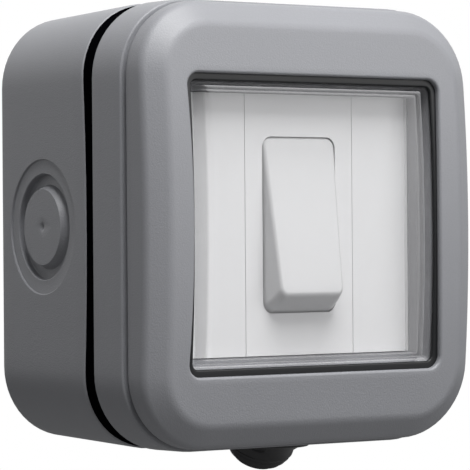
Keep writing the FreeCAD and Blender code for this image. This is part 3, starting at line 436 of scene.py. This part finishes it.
def make_bezel():
    """Groove, side, bevelled crown, face, mouth with the seat of the seal, and the inside."""
    groove = HOUSING_FRONT + GROOVE_HEIGHT
    side_foot = fillet((1, 0), (0, 0), (0, 1), GROOVE_EDGE, steps=3)
    foot = [bezel_back_row(inset, groove + rise) for inset, rise in side_foot]
    crown = rounded([(0, 2 * CROWN_SIDE), (0, CROWN_SIDE), (CROWN_FACE, 0), (2 * CROWN_FACE, 0)],
                    [CROWN_SIDE_RADIUS, CROWN_FACE_RADIUS], steps=8)
    front = [bezel_row(inset, below) for inset, below in crown[1:-1]]
    seat = SEAL_SEAT + SEAT_GAP
    lip = rounded([(1, 0), (0, 0), (0, WINDOW_LIP), (seat, WINDOW_LIP), (seat, BEZEL_WALL)],
                  [MOUTH_EDGE, 0, 0], steps=5)
    mouth = [window_row(outward, below) for outward, below in lip[1:]]
    rows = [bezel_back_row(GROOVE_INSET, HOUSING_FRONT), bezel_back_row(GROOVE_INSET, groove)] + foot
    rows += between(foot[-1], front[0], steps=3) + front
    rows += between(front[-1], mouth[0], steps=8) + mouth
    rows += [bezel_row(BEZEL_WALL + CROWN_FACE, BEZEL_WALL), bezel_row(BEZEL_WALL, BEZEL_WALL + CROWN_SIDE)]
    rows.append(bezel_back_row(BEZEL_WALL, HOUSING_FRONT))
    return shell("bezel_shell", rows)


dress(make_bezel(), grey, "housing_grey", "front_bezel")

# %% [markdown]
# ## The front housing
# Behind the bezel a band of the same grey carries the screws and the well of the window. It
# could be cut from a block with Booleans, but the well follows the same bowed front as the
# bezel, so another closed profile is simpler: band, front edge, seat of the cover, well, the
# ledge behind the plates, deck and inside.

# %% Housing band and well
GASKET_FRONT = HOUSING_BACK + EXTRA_GASKET
BAND_FRONT_EDGE, BAND_BACK_EDGE, WELL_EDGE, BAND_INSET, WELL_SEAT = 0.45, 0.35, 0.4, 3.2, 2.6


def side_row(inset, depth, rim):
    """Row of the outer shells, which lean in by the draught away from their rim."""
    return row(shell_outline(inset + SLOPE * abs(rim - depth)), depth)


def well_row(outward, depth=None, below=0.0, taller=0.0):
    """Row of the window well, outward from its wall; taller adds to its half height alone.

    It lies at one depth, or else on the bowed front moved back by below.
    """
    corner = max(WINDOW_CORNER - SEAL_LIP + outward, 0.3)
    half_w = WINDOW_WIDTH - SEAL_LIP + outward
    loop = outline(half_w, WINDOW_HEIGHT - SEAL_LIP + outward + taller, corner)
    return front_row(loop, below) if depth is None else row(loop, depth)


def make_housing():
    """Band, front edge, seat of the cover, well down to the ledge of the plates, deck and inside."""
    back = fillet((1, 0), (0, 0), (0, 1), BAND_BACK_EDGE, steps=4)
    edge = fillet((0, 1), (0, 0), (1, 0), BAND_FRONT_EDGE, steps=4)
    band = [side_row(inset, GASKET_FRONT + rise, HOUSING_BACK) for inset, rise in back]
    front = [side_row(inset, HOUSING_FRONT - below, HOUSING_BACK) for inset, below in edge]
    rows = band + between(band[-1], front[0], steps=4) + front
    rows.append(side_row(BAND_INSET, HOUSING_FRONT, HOUSING_BACK))
    under = WINDOW_LIP + SEAL_THICKNESS + COVER_SKIN
    rows += [well_row(WELL_SEAT, HOUSING_FRONT), well_row(WELL_SEAT, below=under)]
    lip = fillet((1, under), (0, under), (0, under + 1), WELL_EDGE, steps=4)
    rows += [well_row(outward, below=below) for outward, below in lip]
    ledge = WINDOW_WIDTH - SEAL_LIP - PLATE_WIDTH
    rows += [well_row(0, PLATE_FRONT), well_row(-ledge, PLATE_FRONT), well_row(-ledge, PLATE_BACK)]
    rows += [well_row(0, PLATE_BACK), well_row(0, HOUSING_FRONT - HOUSING_DECK)]
    rows += [side_row(HOUSING_WALL, HOUSING_FRONT - HOUSING_DECK, HOUSING_BACK)]
    rows += [side_row(HOUSING_WALL, GASKET_FRONT, HOUSING_BACK)]
    return shell("housing_shell", rows)


dress(make_housing(), grey, "housing_grey", "front_housing")

# %% [markdown]
# ## The gasket
# Between band and box lies a black rubber gasket, a third of a millimetre back from both,
# which keeps the rain out. The rim of the box bows, so the gasket is thinnest at mid height.
# It takes its outline from the same helper as its neighbours, so the dark joint stays even.

# %% Gasket
GASKET_SETBACK, GASKET_OVERLAP = 0.35, 0.8


def rim_row(inset, shift=0.0):
    """Row on the bowed rim of the box."""
    loop = shell_outline(inset)
    return row(loop, bow(loop[:, 1], BOX_DEPTH, RIM_BOW) + shift)


def make_gasket():
    """Bowed back on the rim of the box, flat front under the band."""
    width = BOX_WALL + GASKET_OVERLAP
    front = [row(shell_outline(inset), GASKET_FRONT) for inset in (GASKET_SETBACK, width)]
    return shell("gasket_ring", [rim_row(GASKET_SETBACK), *front, rim_row(width)])


dress(make_gasket(), gasket_rubber, "seal_black", "box_gasket")

# %% [markdown]
# ## Knock-outs and other openings
# Each knock-out is a ring groove round a disc, in a shallow round recess, so that a sharp
# blow breaks the disc out for a conduit. The back has two fixing slots and a ring for a rear
# entry. A grid fine enough for the rings would cover whole sides, so turned cutters take
# them out of the flat walls with a Boolean. Their bevels leave the thin light edges.

# %% Knock-outs and slots
RECESS_RADIUS, RECESS, RING_RADIUS, RING_DEPTH = 14.6, 0.4, 11.5, 1.9
DISC_FOOT, DISC_TOP, FLARE, OVERSHOOT = 9.2, 8.25, 0.18, 2.0
CENTRE_MARK = [(1.3, 1.0), (1.3, 0.02), (0.8, -0.1), (0.35, -0.5), (0.05, -0.55)]
REAR_INNER, REAR_OUTER, REAR_DEPTH = 10.3, 11.5, 1.6
SLOT_X, SLOT_HALF_LENGTH, SLOT_HALF_WIDTH = 30.15, 4.0, 2.4
GROMMET_X, GROMMET_HOLE, GROMMET_CUT, MID_DEPTH = 16.0, 8.0, 5.0, BOX_DEPTH / 2


def circle_rows(profile, centre, axis, steps=96):
    """One ring of points per (radius, height) pair: centre + radius * turned side + height * axis."""
    axis = np.array(axis, float) / np.linalg.norm(axis)
    side = np.cross(axis, (0, 0, 1) if abs(axis[2]) < 0.5 else (1, 0, 0))
    side /= np.linalg.norm(side)
    angle = np.linspace(0, 2 * math.pi, steps, endpoint=False)
    circle = np.outer(np.cos(angle), side) + np.outer(np.sin(angle), np.cross(axis, side))
    return [np.array(centre) + circle * r + axis * h for r, h in profile]


def capped(name, rows, sharp=SHARP_ANGLE):
    """Turned piece: rows don't wrap, and the first and last row are closed with one polygon each."""
    points, index = indexed(rows)
    faces = quads_between(index[:-1], index[1:]) + [index[0][::-1].tolist(), index[-1].tolist()]
    return mesh_object(name, points, faces, sharp)


def knockout_cutters(centre, outward):
    """What the moulding leaves out: a shallow recess, a deep ring round a disc, and a centre mark."""
    wide, ring = RECESS_RADIUS, RING_RADIUS
    recess = [(wide + FLARE, OVERSHOOT), (wide + FLARE, 0), (wide, -FLARE), (wide, -RECESS)]
    groove = [(ring + FLARE, -RECESS), (ring, -RECESS - FLARE), (ring, -RING_DEPTH)]
    disc = [(DISC_FOOT, -RING_DEPTH), (DISC_TOP, 0), (DISC_TOP, OVERSHOOT)]
    profile = rounded(recess + groove + disc, [0, 0.05, 0.06, 0, 0.05, 0.2, 0.2, 0.3], steps=4)
    return [shell("cut_ring", circle_rows(profile, centre, outward)),
            capped("cut_mark", circle_rows(CENTRE_MARK, centre, outward, steps=32))]


def slot_cutter(x):
    """Fixing slot through the floor: a stadium 8 by 4.8 mm, its long side level."""
    loop = outline(SLOT_HALF_LENGTH, SLOT_HALF_WIDTH, SLOT_HALF_WIDTH - 0.01) + (x, 0)
    return capped("cut_slot", [row(loop, -1), row(loop, BOX_FLOOR + 1)])


def box_cutters():
    """Knock-outs at the left, right and top, the grommet's hole, the rear ring and the two slots."""
    lean = SLOPE * (BOX_DEPTH - MID_DEPTH)
    cutters = knockout_cutters((lean - HALF_WIDTH, -MID_DEPTH, 0), (-1, SLOPE, 0))
    cutters += knockout_cutters((HALF_WIDTH - lean, -MID_DEPTH, 0), (1, SLOPE, 0))
    cutters += knockout_cutters((0, -MID_DEPTH, HALF_HEIGHT - lean), (0, SLOPE, 1))
    hole = circle_rows([(GROMMET_HOLE, -GROMMET_CUT), (GROMMET_HOLE, GROMMET_CUT)],
                       (GROMMET_X, -MID_DEPTH, lean - HALF_HEIGHT + 1), (0, 0, 1))
    ring = circle_rows([(REAR_INNER, 1), (REAR_INNER, -REAR_DEPTH), (REAR_OUTER, -REAR_DEPTH),
                        (REAR_OUTER, 1)], (0, 0, 0), (0, 1, 0))
    cutters += [capped("cut_grommet", hole), shell("cut_rear", ring)]
    return cutters + [slot_cutter(SLOT_X), slot_cutter(-SLOT_X)]


print("knock-out disc", 2 * DISC_FOOT, "mm across in a ring of", 2 * RING_RADIUS, "mm")

# %% [markdown]
# ## The back box
# The box is a deep tray with draughted sides. A cube with a Solidify modifier would have the
# wall but not the bowed rim, so the tray is a grid too. The outside runs from the rim down
# the side, round the back edge and in to a small plug at the middle of the back. The inside
# comes back from there to the rim, and the plug is closed with one polygon on each side.

# %% Back box
RIM_EDGE, BACK_EDGE, BOX_PLUG = 0.4, 1.0, (3.0, 3.0, 2.9)


def plugged(name, rows, middle, sharp=SHARP_ANGLE):
    """Lid or tray: a ring, but the rows middle and middle + 1 are closed with one polygon each."""
    points, index = indexed(rows)
    joined = np.arange(len(rows)) != middle
    faces = quads_between(index[joined], np.roll(index, -1, 0)[joined])
    faces += [index[middle].tolist(), index[middle + 1][::-1].tolist()]
    return mesh_object(name, points, faces, sharp)


def make_box():
    """Closed tray: the outside with soft edges, the plug at the middle, and a plain inside."""
    edge = fillet((1, 0), (0, 0), (0, -1), RIM_EDGE, steps=4)
    rim = [rim_row(inset - SLOPE * shift, shift) for inset, shift in edge]
    back = fillet((0, 1), (0, 0), (1, 0), BACK_EDGE, steps=6)
    foot = [side_row(inset, depth, BOX_DEPTH) for inset, depth in back]
    plug = outline(*BOX_PLUG)
    outside = rim + between(rim[-1], foot[0], steps=8) + foot
    outside += between(foot[-1], row(plug, 0), steps=8) + [row(plug, 0)]
    inside = [row(plug, BOX_FLOOR), side_row(BOX_WALL, BOX_FLOOR, BOX_DEPTH), rim_row(BOX_WALL)]
    return plugged("box_shell", outside + inside, len(outside) - 1)


def cut_out(target, cutters):
    """Takes cutters out of a solid, deletes them and hands the solid back."""
    for cutter in cutters:
        step = target.modifiers.new("cut", "BOOLEAN")
        step.operation, step.solver, step.object = "DIFFERENCE", "EXACT", cutter
    graph = bpy.context.evaluated_depsgraph_get()
    mesh = bpy.data.meshes.new_from_object(target.evaluated_get(graph))
    target.modifiers.clear()
    target.data = mesh
    for cutter in cutters:
        bpy.data.objects.remove(cutter)
    smooth(mesh)
    return target


dress(cut_out(make_box(), box_cutters()), grey, "housing_grey", "back_box")

# %% [markdown]
# ## The seal
# A black rubber seal lies between the bezel and the clear cover, and its soft inner edge
# shows as a thin dark line round the window. A dark stripe painted on the cover would look
# the same from the front, but a ring of its own also shows its thickness from the side.

# %% Seal
SEAL_REACH, SEAL_EDGE, SEAL_INNER = SEAL_LIP + SEAL_SEAT, 0.4, 1.5


def make_seal():
    """Flat ring under the bezel's lip, whose soft inner edge stands into the window."""
    profile = rounded([(SEAL_INNER, SEAL_THICKNESS), (-EXTRA_SEAL, SEAL_THICKNESS), (-EXTRA_SEAL, 0),
                       (SEAL_INNER, 0)], [SEAL_EDGE, SEAL_EDGE], steps=4)
    behind = WINDOW_LIP + SEAL_THICKNESS
    lip = [well_row(outward, below=behind - rise) for outward, rise in profile]
    outer = [well_row(SEAL_REACH, below=behind), well_row(SEAL_REACH, below=WINDOW_LIP)]
    return shell("window_seal_ring", lip + outer)


dress(make_seal(), black, "seal_black", "window_seal")

# %% [markdown]
# ## The clear cover
# The cover is one clear flexible moulding: a flange under the seal, a rolled fold that lets
# it give under a finger, and a raised pane over the rocker. What is seen of it are the light
# edges of the fold, so it is a real skin with two sides, where a single sheet would show
# only half of these lines. Like the tray, it has a small plug at its middle.

# %% Clear cover
FOLD_GAP, FOLD_WIDTH, FOLD_LIFT, PANE_SETBACK = 0.15, 2.4, 1.0, 0.4
BEND_RADIUS, SHOULDER_RADIUS, PANE_PLUG, PANE_STEPS, COVER_SHARP = 0.7, 1.0, (6.0, 6.0, 3.0), 10, 50


def pane_rows(rim, below):
    """Rows from a rim in to the middle plug, all on the bowed front moved back by below."""
    plug = front_row(outline(*PANE_PLUG), below)
    rows = between(rim, plug, PANE_STEPS) + [plug]
    for ring in rows:
        ring[:, 1] = below - bow(ring[:, 2], CREST, FRONT_BOW)
    return rows


def make_cover():
    """Flange, well wall, fold, shoulder and pane; then the same again, one skin further back."""
    flange = WINDOW_LIP + SEAL_THICKNESS
    floor_depth = PLATE_FRONT + FOLD_LIFT
    wall = FOLD_GAP + COVER_SKIN
    fold = wall + FOLD_WIDTH
    skin = 0.99 * COVER_SKIN
    behind = PANE_SETBACK + COVER_SKIN
    bend = fillet((0, 0), (-wall, 0), (-wall, 1), BEND_RADIUS, steps=5)
    shoulder = fillet((-fold, 1), (-fold, 0), (-fold - 1, 0), SHOULDER_RADIUS, steps=5)
    rows = [well_row(SEAL_REACH, below=flange)]
    rows += [well_row(outward, below=flange + b) for outward, b in bend]
    rows.append(well_row(-wall, floor_depth + COVER_SKIN))
    rows.append(well_row(-fold, floor_depth + COVER_SKIN, taller=EXTRA_FOLD))
    rows += [well_row(outward, below=PANE_SETBACK + b, taller=EXTRA_FOLD) for outward, b in shoulder]
    rows += pane_rows(rows[-1], PANE_SETBACK)
    middle = len(rows) - 1
    under = [well_row(outward - skin, below=behind + b, taller=EXTRA_FOLD) for outward, b in shoulder[::-1]]
    rows += pane_rows(under[0], behind)[::-1] + under
    rows += [well_row(-fold - COVER_SKIN, floor_depth, taller=EXTRA_FOLD), well_row(-FOLD_GAP, floor_depth)]
    rows += [well_row(outward, below=flange + COVER_SKIN) for outward in (-FOLD_GAP, SEAL_REACH)]
    return plugged("clear_cover_skin", rows, middle, COVER_SHARP)


dress(make_cover(), film, "clear_membrane", "clear_cover")

# %% [markdown]
# ## The rocker
# The rocker is a flat-faced key that tilts about an axis behind the plate. Its sides lean in
# beyond the plate, its ends follow a circle about the axis, and all its edges are soft. Each
# row is a rounded rectangle at one height above the axis, in the rocker's untilted frame, and
# every point is then turned by the angle at which the lower end stands proud. A cube with
# bevels would be quicker, but its flat ends would run into the plate when it tilts.

# %% Rocker
ROCKER_WIDTH, ROCKER_END, ROCKER_PROUD, SIDE_TAPER = 9.2, 18.5, 5.2, 0.226
ROCKER_WALL, ROCKER_SKIRT, ROCKER_EDGE, ROCKER_CORNER, FACE_PLUG = 1.5, 4.2, 0.7, 2.0, 8.0
ROCKER_ARC = math.hypot(ROCKER_END, ROCKER_DEPTH)
PROUD_END = math.sqrt(ROCKER_ARC ** 2 - (ROCKER_DEPTH + ROCKER_PROUD) ** 2)
TILT = math.atan2(ROCKER_PROUD, ROCKER_END + PROUD_END)
FACE = ROCKER_END * math.sin(TILT) + ROCKER_DEPTH * math.cos(TILT)


def rocker_row(height, inset=0.0):
    """Ring at a height above the axis, its half length sqrt(arc ** 2 - height ** 2) less the inset.

    Past the plate the half width falls by the taper times the distance out.
    """
    end = math.sqrt(ROCKER_ARC ** 2 - height ** 2) - inset
    loop = outline(ROCKER_WIDTH - inset, end, max(ROCKER_CORNER - inset, 0.3))
    out = height * math.cos(TILT) - loop[:, 1] * math.sin(TILT)
    rise = loop[:, 1] * math.cos(TILT) + height * math.sin(TILT)
    across = loop[:, 0] * (1 - SIDE_TAPER * np.maximum(out - ROCKER_DEPTH, 0) / ROCKER_WIDTH)
    return np.stack([across, -PIVOT - out, rise], 1)


def make_rocker():
    """Skirt up to the face, soft edge, face in to its middle, then the hollow inside."""
    rows = [rocker_row(height) for height in np.linspace(ROCKER_SKIRT, FACE - ROCKER_EDGE, 14)]
    edge = fillet((0, -1), (0, 0), (1, 0), ROCKER_EDGE, steps=6)
    rows += [rocker_row(FACE + rise, inset) for inset, rise in edge]
    plug = rocker_row(FACE, FACE_PLUG)
    rows += between(rows[-1], plug, steps=5) + [plug]
    middle = len(rows) - 1
    ceiling = FACE - ROCKER_WALL
    rows += [rocker_row(ceiling, FACE_PLUG), rocker_row(ceiling, ROCKER_WALL)]
    rows.append(rocker_row(ROCKER_SKIRT, ROCKER_WALL))
    return plugged("rocker_key", rows, middle)


dress(make_rocker(), rocker_white, "rocker_white", "rocker", body="rocker")
print("tilt", round(math.degrees(TILT), 2), "face height", round(FACE, 2))

# %% [markdown]
# ## The cable grommet
# Under the box a round collar carries a stepped rubber dome, which is cut to the cable's size
# on site. The dome leans back towards the wall, so its steps are circles about a leaning
# axis, where a plain turned cone would show level rings. Where a step would rise into the
# collar it is flattened against the collar's underside.

# %% Grommet
NECK_RADIUS, NECK_LENGTH, COLLAR_TOP, COLLAR_RADIUS, COLLAR_HEIGHT = 6.9, 5.5, -47.9, 10.4, 2.3
COLLAR_INNER, COLLAR_FOOT, TURNED_STEPS, ROW_DROP = 7.5, 8.6, 72, 0.01
DOME_LEAN, DOME_RADIUS, DOME_HEIGHT, DOME_POWER, DOME_STEPS = math.radians(31), 8.4, 9.0, 2.4, 6
DOME_FOOT, DOME_AXIS = (13.6, -21.0, -46.3), (0, math.sin(DOME_LEAN), -math.cos(DOME_LEAN))
DOME_START, FIRST_STEP, STEP_PITCH, RIB, RIB_LEAN, LEDGE_RISE = 0.2, 0.4, 0.117, 0.45, 0.27, 0.05


def dome_radius(t):
    """Radius at a share t of the height: radius * (1 - t ** power) ** (1 / power)."""
    return DOME_RADIUS * (1 - t ** DOME_POWER) ** (1 / DOME_POWER)


def make_grommet():
    """Neck and collar about a vertical axis, then leaning steps, each with a bevelled rib."""
    down = (0, 0, -1)
    neck_place = (GROMMET_X, -MID_DEPTH, COLLAR_TOP)
    rows = circle_rows([(NECK_RADIUS, -NECK_LENGTH), (NECK_RADIUS, 0)], neck_place, down, TURNED_STEPS)
    collar = rounded([(COLLAR_INNER, 0), (COLLAR_RADIUS, 0), (COLLAR_RADIUS, COLLAR_HEIGHT),
                      (COLLAR_FOOT, COLLAR_HEIGHT)], [0.4, 0.6], steps=4)
    rows += circle_rows(collar, (*DOME_FOOT[:2], COLLAR_TOP), down, TURNED_STEPS)
    edges = FIRST_STEP + STEP_PITCH * np.arange(DOME_STEPS)
    profile = [(dome_radius(edges[0]), DOME_START * DOME_HEIGHT)]
    for t, following in zip(edges, edges[1:]):
        ledge, radius = t * DOME_HEIGHT, dome_radius(following)
        profile += [(dome_radius(t), ledge), (radius - RIB_LEAN, ledge + LEDGE_RISE), (radius, ledge + RIB)]
    profile.append((dome_radius(edges[-1]), edges[-1] * DOME_HEIGHT))
    dome = circle_rows(profile, DOME_FOOT, DOME_AXIS, TURNED_STEPS)
    for k, ring in enumerate(dome):
        ring[:, 2] = np.minimum(ring[:, 2], COLLAR_TOP - COLLAR_HEIGHT - ROW_DROP * (k + 1))
    return capped("grommet_dome", rows + dome, sharp=30)


dress(make_grommet(), grommet_rubber, "seal_black", "cable_grommet")

# %% [markdown]
# ## Camera
# The photograph was taken from the left with a long lens, level with the switch. The
# camera's place, turn and lens were found by matching the outline of the shells. A Track To
# constraint would aim it too, but not give it the slight roll, so its three axes are worked
# out from the angles.

# %% Camera
YAW, PITCH, ROLL = math.radians(33.5), math.radians(-0.08), math.radians(-0.45)
AIM, DISTANCE = np.array([-7.93, 20 - WINDOW_PLANE, -2.07]), 579.5
LENS, SENSOR = 204.3, 36.0


def pose(x_axis, y_axis, z_axis, place):
    """Matrix from three axes and a place in metres."""
    matrix = np.eye(4)
    matrix[:3, :] = np.stack([x_axis, y_axis, z_axis, place], 1)
    return Matrix(matrix.tolist())


forward = np.array([math.sin(YAW) * math.cos(PITCH), math.cos(YAW) * math.cos(PITCH), -math.sin(PITCH)])
right = np.array([math.cos(YAW), -math.sin(YAW), 0])
up = np.cross(right, forward)
turned_right = math.cos(ROLL) * right + math.sin(ROLL) * up
turned_up = math.cos(ROLL) * up - math.sin(ROLL) * right
camera = bpy.data.objects.new("camera", bpy.data.cameras.new("camera"))
scene.collection.objects.link(camera)
camera.matrix_world = pose(turned_right, turned_up, -forward, (AIM - forward * DISTANCE) * MM)
camera.data.lens = LENS
camera.data.sensor_width = SENSOR
scene.camera = camera
print("camera at", np.round((AIM - forward * DISTANCE) * MM, 3))

# %% [markdown]
# ## Floor
# The photograph has a plain white ground. A shadow catcher would need compositing, so the
# floor shows the camera a pale matt near the switch, where it keeps the soft shadow, and goes
# over into plain white further out. All other rays see a darker matt, so that the floor
# doesn't light the underside too strongly.

# %% Floor
FLOOR_HEIGHT, FLOOR_HALF = -160.0, 3000.0
FLOOR_BOUNCE, FLOOR_SEEN, PURE_WHITE = (0.24, 0.24, 0.24, 1), (0.85, 0.85, 0.85, 1), (1, 1, 1, 1)
FADE_START, FADE_RATE = 0.2, 3.0


def floor_finish():
    """For the camera, matt goes over into white by 3 per metre from 0.2 m off the origin."""
    g = Graph(bpy.data.materials.new("floor_white"))
    seen = g.node("ShaderNodeLightPath", out="Is Camera Ray")
    bounce = g.node("ShaderNodeBsdfDiffuse", inputs={"Color": FLOOR_BOUNCE})
    pale = g.node("ShaderNodeBsdfDiffuse", inputs={"Color": FLOOR_SEEN})
    plain = g.node("ShaderNodeEmission", inputs={"Color": PURE_WHITE})
    spot = g.node("ShaderNodeTexCoord", out="Object")
    distance = g.node("ShaderNodeVectorMath", {"operation": "LENGTH"}, {0: spot}, out="Value")
    away = (distance * FADE_RATE + -FADE_START * FADE_RATE).math("MINIMUM", 1).math("MAXIMUM", 0)
    shadowed = g.node("ShaderNodeMixShader", inputs={0: away, 1: pale, 2: plain})
    return g.surface(g.node("ShaderNodeMixShader", inputs={0: seen, 1: bounce, 2: shadowed}))


corners = np.array([(-1, -1), (1, -1), (1, 1), (-1, 1)]) * FLOOR_HALF
floor = mesh_object("floor", np.column_stack([corners, np.full(4, FLOOR_HEIGHT)]), [[0, 1, 2, 3]])
floor.data.materials.append(floor_finish())
print("floor", -FLOOR_HEIGHT, "mm below the middle of the switch")

# %% [markdown]
# ## World
# A plain bright world would give the white ground, but wash the switch out. So the world is
# white only to the camera, to gloss and through clear plastic, and a dim grey, as of a room,
# to every surface.

# %% World
ROOM = (0.22, 0.22, 0.225, 1)


def studio_world():
    """White where a ray is a camera, glossy or transmission ray, and the room's grey elsewhere."""
    g = Graph(bpy.data.worlds.new("studio"), "ShaderNodeOutputWorld")
    shown = g.node("ShaderNodeLightPath", out="Is Camera Ray")
    for kind in ("Is Glossy Ray", "Is Transmission Ray"):
        shown = shown.math("MAXIMUM", g.node("ShaderNodeLightPath", out=kind))
    room = g.node("ShaderNodeBackground", inputs={"Color": ROOM})
    ground = g.node("ShaderNodeBackground", inputs={"Color": PURE_WHITE})
    return g.surface(g.node("ShaderNodeMixShader", inputs={0: shown, 1: room, 2: ground}))


scene.world = studio_world()
print("world", scene.world.name, "room grey", ROOM[0])

# %% [markdown]
# ## Lamps
# One broad lamp hangs above and in front, which gives the pale top edges and the soft
# shading down the sides. A second one, further off to the right, opens up the front. Area
# lamps of this size give soft shadows, as a light tent does, where a sun's would be hard.

# %% Lamps
def lamp(name, place, aim, size, power):
    """Square area lamp at a place, turned to face a point; lengths in metres, power in watts."""
    data = bpy.data.lights.new(name, "AREA")
    data.size = size
    data.energy = power
    obj = bpy.data.objects.new(name, data)
    scene.collection.objects.link(obj)
    back = np.array(place, float) - np.array(aim, float)
    back /= np.linalg.norm(back)
    side = np.cross((0, 1, 0) if abs(back[2]) > 0.9 else (0, 0, 1), back)
    side /= np.linalg.norm(side)
    obj.matrix_world = pose(side, np.cross(back, side), back, place)
    print(name, "at", place, power, "W")


lamp("key_above", place=(-0.05, -0.34, 0.62), aim=(0, -0.03, 0), size=0.45, power=7.7)
lamp("front_fill", place=(0.60, -0.90, 0.40), aim=(0, -0.05, 0), size=0.7, power=4.8)
